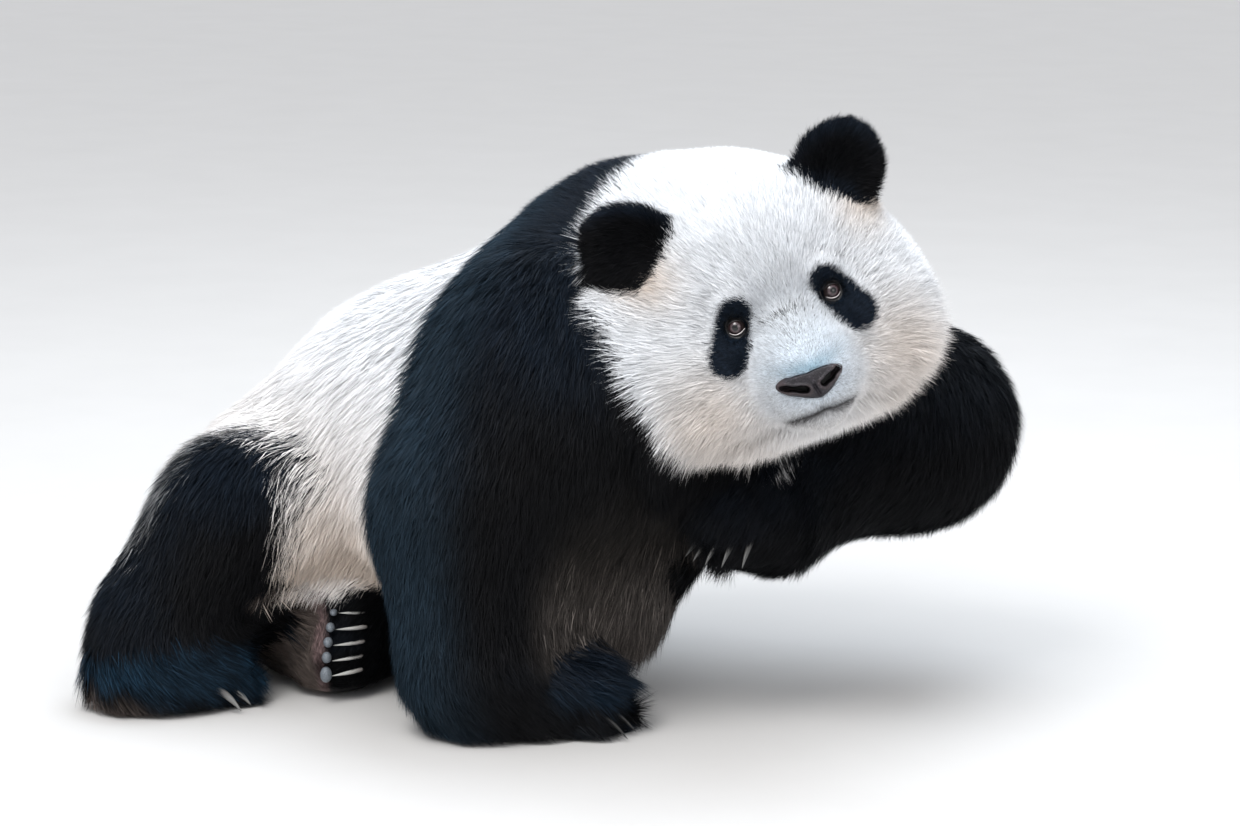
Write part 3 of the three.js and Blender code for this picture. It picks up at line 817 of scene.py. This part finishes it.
# ---- tufts over the skin
COAT_TRIANGLES = 1.42e6
BARE_EYE = 0.0098             # no tuft stands this close to the line of a gaze
LOCK_SHARE = 0.55             # locks for each unit of closeness, where the hair is long
HAIR_SHARE = (2.4, 1.8)       # single hairs for each unit of closeness, among short hair and among long
FINE_HAIR, SHORT_HAIR = 0.012, 0.021
CLUMP = 0.010                 # size of a lock of long hair
CELL_PRIMES = np.array([73856093, 19349663, 83492791])
BAKE_PATCH = 0.003
triangles = surface.faces
face_normal = face_normals(surface.corners, triangles)
face_area = np.linalg.norm(face_normal, axis=1)
face_normal = unit(face_normal)
face_middle = surface.corners[triangles].mean(1)
face_head = to_head(face_middle)
closeness = density[triangles].mean(1)
closeness[(face_middle[:, 2] < 0.012) & (face_normal[:, 2] < -0.6)] = 0
for eye_side in EYES:
    eye_centre, gaze, across, above = eye_frame(eye_side)
    off_axis = np.hypot((face_head - eye_centre) @ across, (face_head - eye_centre) @ above)
    closeness[(off_axis < BARE_EYE) & (face_head[:, 0] > -0.03)] = 0
closeness[nose_share(face_head) < 0.93] = 0
lips = bump(face_head[:, 2] - mouth_line(face_head[:, 1]), 0.0023) * step(-0.02, 0.0, face_head[:, 0])
closeness *= 1 - 0.9 * lips * step(0.046, 0.036, np.abs(face_head[:, 1]))

long_hair = step(0.007, 0.014, length[triangles].mean(1))
lock_count = closeness * face_area * LOCK_SHARE * long_hair
hair_count = closeness * face_area * mix(*HAIR_SHARE, long_hair)
scale = COAT_TRIANGLES / (3 * lock_count + hair_count).sum()


class Tufts:
    """Many tufts planted over the skin; each row of each array is one tuft."""

    def __init__(self, wanted, rings, widths, spread):
        self.rings, self.widths = rings, widths
        self.plant(wanted)
        self.form(spread)
        self.mark()
        self.shade()

    def plant(self, wanted):
        """Places the tufts, as many on each triangle as wanted."""
        number = np.floor(wanted + rng.random(len(wanted))).astype(int)
        self.host = np.repeat(np.arange(len(triangles)), number)
        self.count = len(self.host)
        self.part = code[triangles[self.host, 0]]
        a, b = rng.random(self.count), rng.random(self.count)
        a, b = np.where(a + b > 1, 1 - a, a), np.where(a + b > 1, 1 - b, b)
        self.weights = np.stack([1 - a - b, a, b], 1)
        self.root = self.at(surface.corners)
        self.head_root = to_head(self.root)
        self.out = unit(self.at(normal))
        self.patch = (skin_uv[self.host] * self.weights[:, :, None]).sum(1)

    def form(self, spread):
        """Length, rise, width and direction of each tuft."""
        count = self.count
        flow = tangent(self.at(lie), self.out)
        uneven = mix(1.0, 1.5, self.at(ruff)) * rng.uniform(-0.30, 0.20, count)
        self.hair = self.at(length) * (1 + uneven)
        edge = np.maximum(0.6 * self.at(ruff), 0.35 * self.at(collar))
        self.rise = self.at(depth) * rng.uniform(0.55, 1.15, count)
        self.rise = self.rise + self.hair * 0.44 * edge * rng.random(count)
        for name in EARS:
            from_middle = self.root - middle(name)
            span = np.linalg.norm(from_middle, axis=1)
            rim = step(0.2, 0.8, (self.out * from_middle).sum(1) / span) * step(0.028, 0.040, span)
            rim = rim * (self.part == CODE[name]) * step(0.30, 0.02, self.at(near_head))
            self.rise = self.rise + self.hair * 0.40 * rim * rng.uniform(0.2, 1.0, count)
        self.wide = self.at(tuft_width) * rng.uniform(0.75, 1.25, count)
        swing = rng.normal(0, spread, count)[:, None]
        self.flow = unit(flow * np.cos(swing) + np.cross(self.out, flow) * np.sin(swing))
        self.side = np.cross(self.out, self.flow)
        roll = rng.normal(0, 0.5, count)[:, None]
        self.blade = unit(self.side * np.cos(roll) + self.out * np.sin(roll))
        self.bend = rng.normal(0, 0.05, count) * self.hair

    def mark(self):
        """Black or white, and the colour, from the markings part of the way along each tuft."""
        share = mix(0.45, 0.10, self.at(collar))
        spot = self.root + self.flow * (self.hair * share)[:, None] + rng.normal(0, 0.0016, (self.count, 3))
        self.black = rng.random(self.count) < blackness(spot, self.part)
        self.colour = pelt(spot, self.out, self.part, self.black.astype(float))

    def shade(self):
        """How much lighter or darker each tuft is than the markings, and the few of another colour."""
        count, part, black = self.count, self.part, self.black
        ahead, across, height = self.head_root.T
        low = mix(0.90, 0.82, self.at(near_head))
        tone = np.where(black, rng.uniform(0.7, 1.3, count), mix(low, 1.06, rng.random(count)))
        strands = breast(self.root, part) * (rng.random(count) < 0.25)
        tone = tone * (1 + 2.6 * strands * rng.random(count))
        # Grey tufts among the black where the thigh faces back and up.
        back_of_thigh = step(0.35, 0.85, self.out @ unit([-0.9, 0, 0.45])) * step(0.14, 0.24, self.root[:, 2])
        grey_on_thigh = part_mask(part, "right_hind_leg") & (rng.random(count) < 0.55 * back_of_thigh) & black
        self.colour = np.where(grey_on_thigh[:, None], THIGH_GREY, self.colour)
        # Painted sheen: black tufts on the right hind foot are made darker or much lighter at random, as
        # streaks of sheen.
        foot_sheen = part_mask(part, "right_hind_foot") & black
        tone = np.where(foot_sheen, tone * (0.30 + 2.0 * rng.random(count) ** 2), tone)
        # Painted sheen: black tufts round the eyes are lighter, up to three times.
        patch_sheen = black & (part == CODE["head"]) & (eye_patch(self.head_root) < 0.004) & (ahead > -0.06)
        tone = np.where(patch_sheen, tone * rng.uniform(1.0, 3.2, count), tone)
        crease = bump(across + 0.004, 0.020) * bump(height + 0.006 - 0.10 * across, 0.0035)
        bridge = bump(across, 0.018) * bump(height + 0.026, 0.026)
        grey = (0.60 * crease + 0.17 * bridge) * (ahead > -0.03)
        tone = np.where(~black & (rng.random(count) < grey), 0.20, tone)
        self.lean, lock_shade = self.towards_lock()
        tone = tone * np.where(black, 0.78 + 0.44 * lock_shade, 0.92 + 0.10 * lock_shade)
        near_nose = step(0.10, 0.05, apart(self.root, NOSE_TIP))
        self.tone = tone * (1 - 0.5 * near_nose * (rng.random(count) < 0.3))

    def at(self, values):
        share = self.weights[:, :, None] if values.ndim > 1 else self.weights
        return (values[triangles[self.host]] * share).sum(1)

    def towards_lock(self):
        """Neighbouring tufts lean towards shared points and have a shade in common, as locks of hair do."""
        reach = self.at(length)[:, None]
        clump = CLUMP * np.where(reach < FINE_HAIR, 0.40, np.where(reach < SHORT_HAIR, 0.65, 1.0))
        cell = np.floor(self.root / clump).astype(np.int64)
        mixed = (cell * CELL_PRIMES).sum(1) & 0xFFFFFF
        offset = np.stack([((mixed >> shift) & 255) / 255.0 for shift in (0, 8, 16)], 1)
        lean = (cell + offset) * clump - self.root
        lean -= self.out * (lean * self.out).sum(1, keepdims=True)
        strength = np.where(reach < SHORT_HAIR, 0.55, 0.38) * np.clip((reach - 0.002) / 0.018, 0, 1)
        return lean * strength, offset.sum(1) % 1.0

    def line(self, share):
        """Middle line of each tuft at a share of its length."""
        height = self.rise * (1 - (1 - share) ** 2) - 0.0004
        sideways = self.bend * 4 * share * (1 - share)
        droop = 0.10 * self.hair * share ** 2
        point = self.root + self.flow * (self.hair * share)[:, None] + self.out * height[:, None]
        point += self.side * sideways[:, None] + self.lean * share ** 1.5 + DOWN * droop[:, None]
        point[:, 2] = np.maximum(point[:, 2], 0.0008 + 0.001 * share)
        return point

    def mesh(self, name, pick):
        """One mesh of the picked tufts: rings of two corners and a tip."""
        count, per = len(pick), 2 * len(self.rings) + 1
        corners, strand = np.empty((count, per, 3)), np.empty((count, per, 3))
        along, patch = np.empty((count, per)), np.empty((count, per, 2))
        lane = (pick % 977) * 1.7
        for k, (share, w) in enumerate(zip((*self.rings, 1.0), (*self.widths, 0.0))):
            centre = self.line(share)[pick]
            half = self.blade[pick] * (self.wide[pick] * w / 2)[:, None]
            up = np.full(count, share * 1.5)
            for j, sign in ((2 * k, -1), (2 * k + 1, 1))[:per - 2 * k]:
                corners[:, j] = centre + sign * half
                along[:, j] = share
                strand[:, j] = np.stack([lane + sign * 1.5 * w, up, lane * 0.3], 1)
                patch[:, j] = self.patch[pick] + BAKE_PATCH * np.array([sign * w / 2, share - 0.5])
        sides = []
        for k in range(0, 2 * len(self.rings) - 2, 2):
            sides += [(k, k + 1, k + 3), (k, k + 3, k + 2)]
        sides.append((per - 3, per - 2, per - 1))
        faces = (np.array(sides)[None] + (np.arange(count) * per)[:, None, None]).reshape(-1, 3)
        obj = mesh_object(name, corners.reshape(-1, 3), faces)
        store(obj, along=along, tone=np.repeat(self.tone[pick], per), strand=strand,
              pelt=with_alpha(np.repeat(self.colour[pick], per, 0)))
        layer = obj.data.uv_layers.new(name="OFBake")
        layer.data.foreach_set("uv", patch.reshape(-1, 2)[faces.ravel()].astype(np.float32).ravel())
        return obj


GROUPS = {
    "face": ["head"],
    "ears": list(EARS),
    "neck": ["neck"],
    "chest": ["chest"],
    "rump": ["rump", "tail"],
    "left_foreleg": ["left_foreleg", "left_forepaw"],
    "right_foreleg": ["right_foreleg", "right_forepaw"],
    "right_hind_leg": ["right_hind_leg", "right_hind_foot"],
    "left_hind_leg": ["left_hind_leg", "left_hind_foot"],
}
PIECE_TRIANGLES, FEWEST_TUFTS = 190000, 60
HAIR_RISE = 1.12              # single hairs stand up more than locks do
locks = Tufts(lock_count * scale, (0.0, 0.45), (0.75, 1.0), 0.13)
hairs = Tufts(hair_count * scale, (0.0,), (0.8,), 0.17)
hairs.rise = hairs.rise * HAIR_RISE
for kind, tufts in (("locks", locks), ("hairs", hairs)):
    for group, names in GROUPS.items():
        for shade, coat in (("white", WHITE_COAT), ("black", BLACK_COAT)):
            pick = np.flatnonzero(part_mask(tufts.part, *names) & (tufts.black == (shade == "black")))
            if len(pick) < FEWEST_TUFTS:
                continue
            blocks = math.ceil(len(pick) * (2 * len(tufts.rings) - 1) / PIECE_TRIANGLES)
            for k, block in enumerate(np.array_split(pick, blocks)):
                label = f"coat_{group}_{shade}_{kind}" + (f"_{k + 1}" if blocks > 1 else "")
                dressed(tufts.mesh(label, block), coat, names)

# ---- eyes, lids, nose and claws


def loft(name, rings, *ends):
    """A mesh through rings of corners, shaped (rings, around, 3); two end points close it."""
    count, around = rings.shape[:2]
    corners = rings.reshape(-1, 3)
    k, j = np.meshgrid(np.arange(count - 1) * around, np.arange(around), indexing="ij")
    nxt = (j + 1) % around
    quads = np.stack([k + j, k + nxt, k + around + nxt, k + around + j], -1).reshape(-1, 4)
    if not ends:
        return mesh_object(name, corners, quads)
    ring, last = np.arange(around), (count - 1) * around
    after = (ring + 1) % around
    start_cap = np.stack([np.full(around, len(corners)), after, ring], 1)
    end_cap = np.stack([np.full(around, len(corners) + 1), last + ring, last + after], 1)
    return mesh_object(name, np.concatenate([corners, np.array(ends)]), [quads, start_cap, end_cap])


AROUND = 64
turn = turns(AROUND)


def spokes(angle, across, above):
    """Directions round an axis, at each angle from across towards above."""
    return np.cos(angle)[:, None] * across + np.sin(angle)[:, None] * above


def eyeball(side):
    """An eyeball with a slight bulge of cornea, its pole along the gaze."""
    centre, gaze, across, above = eye_frame(side)
    polar = np.linspace(0.05, math.pi - 0.12, 40)
    radius = EYE_RADIUS + CORNEA * bump(polar, 0.5)
    shape = (radius * np.sin(polar))[:, None, None] * spokes(turn, across, above)[None]
    shape = shape + (radius * np.cos(polar))[:, None, None] * gaze
    ends = (from_head(centre + gaze * reach) for reach in (EYE_RADIUS + CORNEA, -EYE_RADIUS))
    obj = loft(f"eyeball_{side}", from_head(centre + shape), *ends)
    spin = np.tile(np.stack([np.cos(turn) * 4, np.sin(turn) * 4, np.zeros(AROUND)], 1), (len(polar), 1))
    store(obj, polar=np.concatenate([np.repeat(polar, AROUND), [0, math.pi]]),
          spin=np.concatenate([spin, np.zeros((2, 3))]))
    return obj


def eye_material():
    m = Nodes("eye")
    polar = m.attribute("polar")
    fibres = m.noise(2.2, 3.0, 0.6, m.attribute("spin", "Vector"))
    iris = m.mix((0.028, 0.018, 0.020), (0.088, 0.058, 0.064), m.ramp(fibres, 0.35, 0.65))
    iris = m.mix(iris, (0.016, 0.009, 0.009), m.ramp(polar, 0.46, 0.60))
    white = m.mix(iris, (0.030, 0.022, 0.022), m.ramp(polar, 0.66, 0.72))
    m.set(Base_Color=m.mix((0.0008, 0.0008, 0.001), white, m.ramp(polar, 0.27, 0.31)))
    m.set(Roughness=0.30, Specular_IOR_Level=0.1, Coat_Weight=1.0, Coat_Roughness=0.02)
    m.relief(fibres, 0.1, 0.0003)
    return m.material


# Rows of the lid: how far out from the edge of the eye, and how high over the ball.
LID_ROWS = [(-0.0001, 0.0002), (0.0001, 0.0009), (0.0008, 0.0012), (0.0016, 0.0012), (0.0026, 0.0010),
            (0.0036, 0.0007), (0.0046, 0.0002), (0.0056, -0.0006), (0.0068, -0.0020)]


def opening(side):
    """Half-width of the opened eye in each direction round the gaze."""
    right, up = np.cos(turn), np.sin(turn)
    nasal = np.where((right < 0) == (side == "left"), np.abs(right), 0)
    tall = np.where(up > 0, 0.0064, 0.0078)
    reach = 1 / np.sqrt((right / 0.0093) ** 2 + (up / tall) ** 2)
    return reach + 0.0011 * nasal ** 8


def eyelids(side):
    """A ring of lid from the edge of the eye out under the fur."""
    centre, gaze, across, above = eye_frame(side)
    reach = opening(side)
    rows = []
    for out_by, lift in LID_ROWS:
        away = reach + out_by
        ball = np.sqrt(np.maximum(EYE_RADIUS ** 2 - np.minimum(away, 0.0100) ** 2, 0)) + lift
        blend = step(0.0088, 0.0135, away) * step(0.0, 0.003, out_by)
        fold = 0.0009 * bump(out_by - 0.0030, 0.0010) * np.clip(np.sin(turn), 0, 1)
        forward = mix(ball, SOCKET_RIM + 0.0007 - 0.8 * max(out_by - 0.0030, 0), blend) + fold
        rows.append(centre + away[:, None] * spokes(turn, across, above) + forward[:, None] * gaze)
    return loft(f"eyelids_{side}", from_head(np.array(rows)))


def tear_line(side):
    """The wet edge that shines along the lower lid."""
    centre, gaze, across, above = eye_frame(side)
    angle = np.linspace(math.radians(205), math.radians(335), 30)
    reach = np.interp(angle, turn, opening(side)) - 0.0004
    spoke = spokes(angle, across, above)
    forward = np.sqrt(EYE_RADIUS ** 2 - np.minimum(reach, 0.0104) ** 2) + 0.0002
    path = centre + spoke * reach[:, None] + gaze * forward[:, None]
    thick = 0.00062 * np.sin(np.linspace(0.12, math.pi - 0.12, 30)) ** 0.5
    tube = turns(10)
    rings = (path[:, None] + spoke[:, None] * (thick[:, None] * np.cos(tube))[..., None]
             + gaze * (thick[:, None] * np.sin(tube))[..., None])
    return loft(f"tear_line_{side}", from_head(rings), from_head(path[0]), from_head(path[-1]))


def lid_material():
    m = Nodes("lid_skin")
    creases = m.noise(900.0, 4.0, 0.6)
    m.set(Base_Color=m.mix((0.004, 0.0035, 0.004), (0.013, 0.011, 0.012), m.ramp(creases, 0.35, 0.7)))
    m.set(Roughness=m.ramp(creases, 0.3, 0.7, 0.32, 0.5))
    m.relief(creases, 0.5, 0.0006)
    return m.material


def tear_material():
    m = Nodes("wet_rim")
    # The pale colour is partly the wet skin of the rim and partly a painted highlight where it catches the
    # light.
    m.set(Base_Color=m.mix((0.50, 0.44, 0.44), (0.66, 0.62, 0.62), m.noise(700.0)), Roughness=0.15)
    m.set(Coat_Weight=1.0, Coat_Roughness=0.03)
    return m.material


EYE_SKIN, LID_SKIN, WET_RIM = eye_material(), lid_material(), tear_material()
for eye_side in ("left", "right"):
    node = "eye_" + eye_side
    dressed(eyeball(eye_side), EYE_SKIN, [node])
    dressed(eyelids(eye_side), LID_SKIN, ["head"])
    dressed(tear_line(eye_side), WET_RIM, [node])


def nose_pad():
    """The bare nose as one skin rolled back at its edge, with two nostrils that sweep out to the sides."""
    angle = turns(128)
    edge = nose_outline(angle)
    share = np.linspace(0.02, 1.0, 46)[:, None]
    across, height = share * edge * np.cos(angle), share * edge * np.sin(angle)
    aside = np.abs(across)
    place = across - NOSE_ASIDE - NOSE_LEAN * height
    front = 0.0714 - 8.6 * place ** 2 - 0.0035 * step(0.007, 0.021, height)
    front = front - 6.0 * np.minimum(height - 0.005, 0) ** 2 - 0.0085 * step(0.80, 1.0, share) ** 1.4
    front = front - 0.0030 * bump(across, 0.0016) * step(0.004, -0.004, height)
    t, gap = along_segment(np.stack([aside, height], -1), NOSTRIL_INNER, NOSTRIL_OUTER)
    reach = 0.0033 - 0.0009 * t + 0.0005 * np.sin(9 * t + 4 * (across > 0))
    hole = step(reach + 0.0012, reach - 0.0008, gap)
    wing = bump(gap - reach - 0.0020, 0.0015) * step(-0.006, 0.004, height + 0.001)
    front = front - 0.0150 * hole + 0.0011 * wing
    shape = np.stack([front, place, NOSE_MIDDLE + height], -1)
    ends = [from_head([forward, -NOSE_ASIDE, NOSE_MIDDLE]) for forward in (NOSE_FRONT, NOSE_BACK)]
    obj = loft("nose_pad", from_head(shape), *ends)
    pink = bump(aside - 0.029, 0.005) * (1 - hole)
    pink = pink + 0.5 * bump(gap - 0.0055, 0.0015) * step(0.005, -0.001, height)
    store(obj, inside=np.append(hole, [0, 0]), pink=np.append(np.clip(pink, 0, 1), [0, 0]))
    return obj


def nose_material():
    m = Nodes("nose_leather")
    pebble = m.cells(1000.0)
    broad = m.noise(140.0, 4.0)
    inside = m.attribute("inside")
    leather = m.mix((0.006, 0.005, 0.007), (0.028, 0.024, 0.030), m.ramp(pebble, 0.1, 0.75, 1.0, 0.0))
    leather = m.mix(leather, (0.085, 0.074, 0.088), m.ramp(m.noise(520.0, 3.0), 0.52, 0.72, 0.0, 0.7))
    leather = m.mix(leather, (0.010, 0.009, 0.011), m.ramp(broad, 0.45, 0.70, 0.0, 0.55))
    leather = m.mix(leather, (0.16, 0.105, 0.10), m.times(m.attribute("pink"), 0.22))
    # Inside the nostrils the leather turns near black: partly their dark skin, partly painted shade in the
    # holes.
    m.set(Base_Color=m.mix(leather, (0.0012, 0.0010, 0.0010), m.ramp(inside, 0.15, 0.6)))
    m.set(Roughness=m.ramp(broad, 0.3, 0.7, 0.38, 0.55), Specular_IOR_Level=0.32)
    m.relief(m.times(pebble, m.ramp(inside, 0.0, 0.4, 1.0, 0.0)), 0.45, 0.0005)
    return m.material


dressed(nose_pad(), nose_material(), ["nose"])


def claw(name):
    """A smooth, curved, slightly flattened claw on the line of its plain solid."""
    root_end, bend, tip, thick = CLAWS[name]
    slim, tone = CLAW_LOOK[name[5:-2]]
    around, rows = turns(CLAW_AROUND), CLAW_ROWS - 1
    share = np.linspace(0, 1, CLAW_ROWS)[:, None]
    control = 2 * bend - (root_end + tip) / 2
    path = (1 - share) ** 2 * root_end + 2 * share * (1 - share) * control + share ** 2 * tip
    run = unit(np.gradient(path, axis=0))
    side = unit(np.cross(root_end - tip, bend - tip))
    above = unit(np.cross(run, side))
    radius = thick * slim * (1 - share ** 2.6 * 0.97)
    rings = (path[:, None] + (radius * 0.74 * np.cos(around))[..., None] * side
             + (radius * np.sin(around))[..., None] * above[:, None])
    obj = loft(name + "_horn", rings[:-1], root_end, tip)
    along = np.repeat(share[:-1, 0], CLAW_AROUND)
    grain = np.stack([np.tile(np.cos(around) * 6, rows), np.tile(np.sin(around) * 6, rows), along], 1)
    store(obj, along=np.append(along, [0, 1]), tone=np.full(len(along) + 2, tone),
          grain=np.concatenate([grain, [[0, 0, 0], [0, 0, 1]]]))
    return obj


def claw_material():
    m = Nodes("claw_horn")
    grain = m.noise(1.6, 4.0, 0.6, m.attribute("grain", "Vector"))
    horn = m.mix((0.30, 0.28, 0.27), (0.60, 0.60, 0.58), m.ramp(m.attribute("along"), 0.10, 0.55))
    horn = m.mix(horn, (0.20, 0.17, 0.15), m.ramp(grain, 0.52, 0.72, 0.0, 0.7))
    # The tone of each paw's claws darkens the horn: painted shade.
    m.set(Base_Color=m.tint(horn, m.attribute("tone")), Roughness=m.ramp(grain, 0.3, 0.7, 0.28, 0.42))
    m.relief(grain, 0.35, 0.0004)
    return m.material


CLAW_ROWS, CLAW_AROUND = 18, 16
# Thickness of each paw's claws against their solids, and how light they are: the darker values are painted
# shade over claws of pale horn.
CLAW_LOOK = {"right_fore": (0.60, 0.02), "left_fore": (0.88, 0.12), "right_hind": (1.05, 0.30),
             "left_hind": (0.80, 0.85)}
CLAW_HORN = claw_material()
for name in CLAWS:
    dressed(claw(name), CLAW_HORN, [name])


# Size of each toe's bare pad against the middle toe's, and how far it sits up the sole.
PAD_SHAPE = {1: (1.10, 0.0010), 2: (0.92, 0.0034), 3: (0.88, 0.0030), 4: (0.84, 0.0018), 5: (0.70, 0.0000)}


def toe_pad(toe):
    """The bare, rounded end of a toe of the left hind foot, beside the tip of its claw."""
    tip = CLAWS[f"claw_left_hind_{toe}"][2]
    size, climb = PAD_SHAPE[toe]
    centre = tip + SOLE_SIDE * 0.0050 + np.array([0.0006, -0.0010, 0.0010 + climb])
    front = unit([0.5, -0.866, 0.0])
    tall = np.cross(SOLE_SIDE, front)
    thick, high, half = 0.0056, 0.0078, front * 0.0062
    polar = np.linspace(0.12, math.pi - 0.12, 14)[:, None, None]
    swell = 1 + 0.05 * np.cos(2 * turn[:, None]) * np.sin(polar) ** 2
    ring = size * spokes(turn, SOLE_SIDE * thick, tall * high * size)
    shape = centre + np.sin(polar) * swell * ring + np.cos(polar) * half
    return loft(f"toe_pad_{toe}", shape, centre + half, centre - half)


def pad_material():
    m = Nodes("toe_pad_leather")
    pebble = m.cells(1100.0)
    m.set(Base_Color=m.mix((0.10, 0.115, 0.135), (0.24, 0.27, 0.30), m.ramp(pebble, 0.1, 0.75, 1.0, 0.0)))
    m.set(Roughness=m.ramp(m.noise(200.0), 0.3, 0.7, 0.30, 0.50))
    m.relief(pebble, 0.6, 0.0005)
    return m.material


PAD_LEATHER = pad_material()
for toe in range(1, 6):
    dressed(toe_pad(toe), PAD_LEATHER, ["left_hind_foot"])

# ---- floor, light and camera
FLOOR_HALF = 40.0
AIM = (0.05, 0, 0.35)         # what every soft light points at
floor_corners = np.array([[-1, -1, 0], [1, -1, 0], [1, 1, 0], [-1, 1, 0]], float) * FLOOR_HALF
floor = mesh_object("floor", floor_corners, np.array([[0, 1, 2, 3]]), False)
pale = Nodes("pale_floor")
pale.set(Base_Color=pale.mix((0.58, 0.57, 0.56), (0.62, 0.61, 0.60), pale.noise(5.0)), Roughness=0.85)
floor.data.materials.append(pale.material)


def soft_light(name, place, size, power, colour):
    data = bpy.data.lights.new(name, "AREA")
    data.shape, data.size, data.energy, data.color = "DISK", size, power, colour
    lamp = placed(name, data)
    lamp.location = place
    lamp.rotation_euler = (Vector(AIM) - Vector(place)).to_track_quat("-Z", "Y").to_euler()


soft_light("key", (0.1, -2.3, 3.2), 1.7, 78, (1.0, 0.985, 0.965))
soft_light("fill", (3.2, -1.8, 1.3), 2.2, 24, (1.0, 0.97, 0.94))
soft_light("sky", (0.2, 0.9, 3.2), 2.4, 68, (0.84, 0.92, 1.0))
sun = placed("sun", bpy.data.lights.new("sun", "SUN"))
sun.data.energy, sun.data.angle = 1.25, math.radians(60)
sun.rotation_euler = Vector((0.0, -2.2, 3.4)).to_track_quat("Z", "Y").to_euler()
world = bpy.data.worlds.new("studio")
world.use_nodes = True
sky = world.node_tree.nodes["Background"].inputs
sky["Color"].default_value, sky["Strength"].default_value = (0.92, 0.95, 1.0, 1), 0.74
bpy.context.scene.world = world
bpy.context.scene.view_settings.view_transform = "Standard"

camera_data = bpy.data.cameras.new("camera")
camera_data.lens, camera_data.sensor_width = 100.0, 36.0
camera = placed("camera", camera_data)
camera.location = (1.959, -3.185, 1.080)
camera.rotation_euler = (math.radians(78.4), 0, math.radians(30))
bpy.context.scene.camera = camera
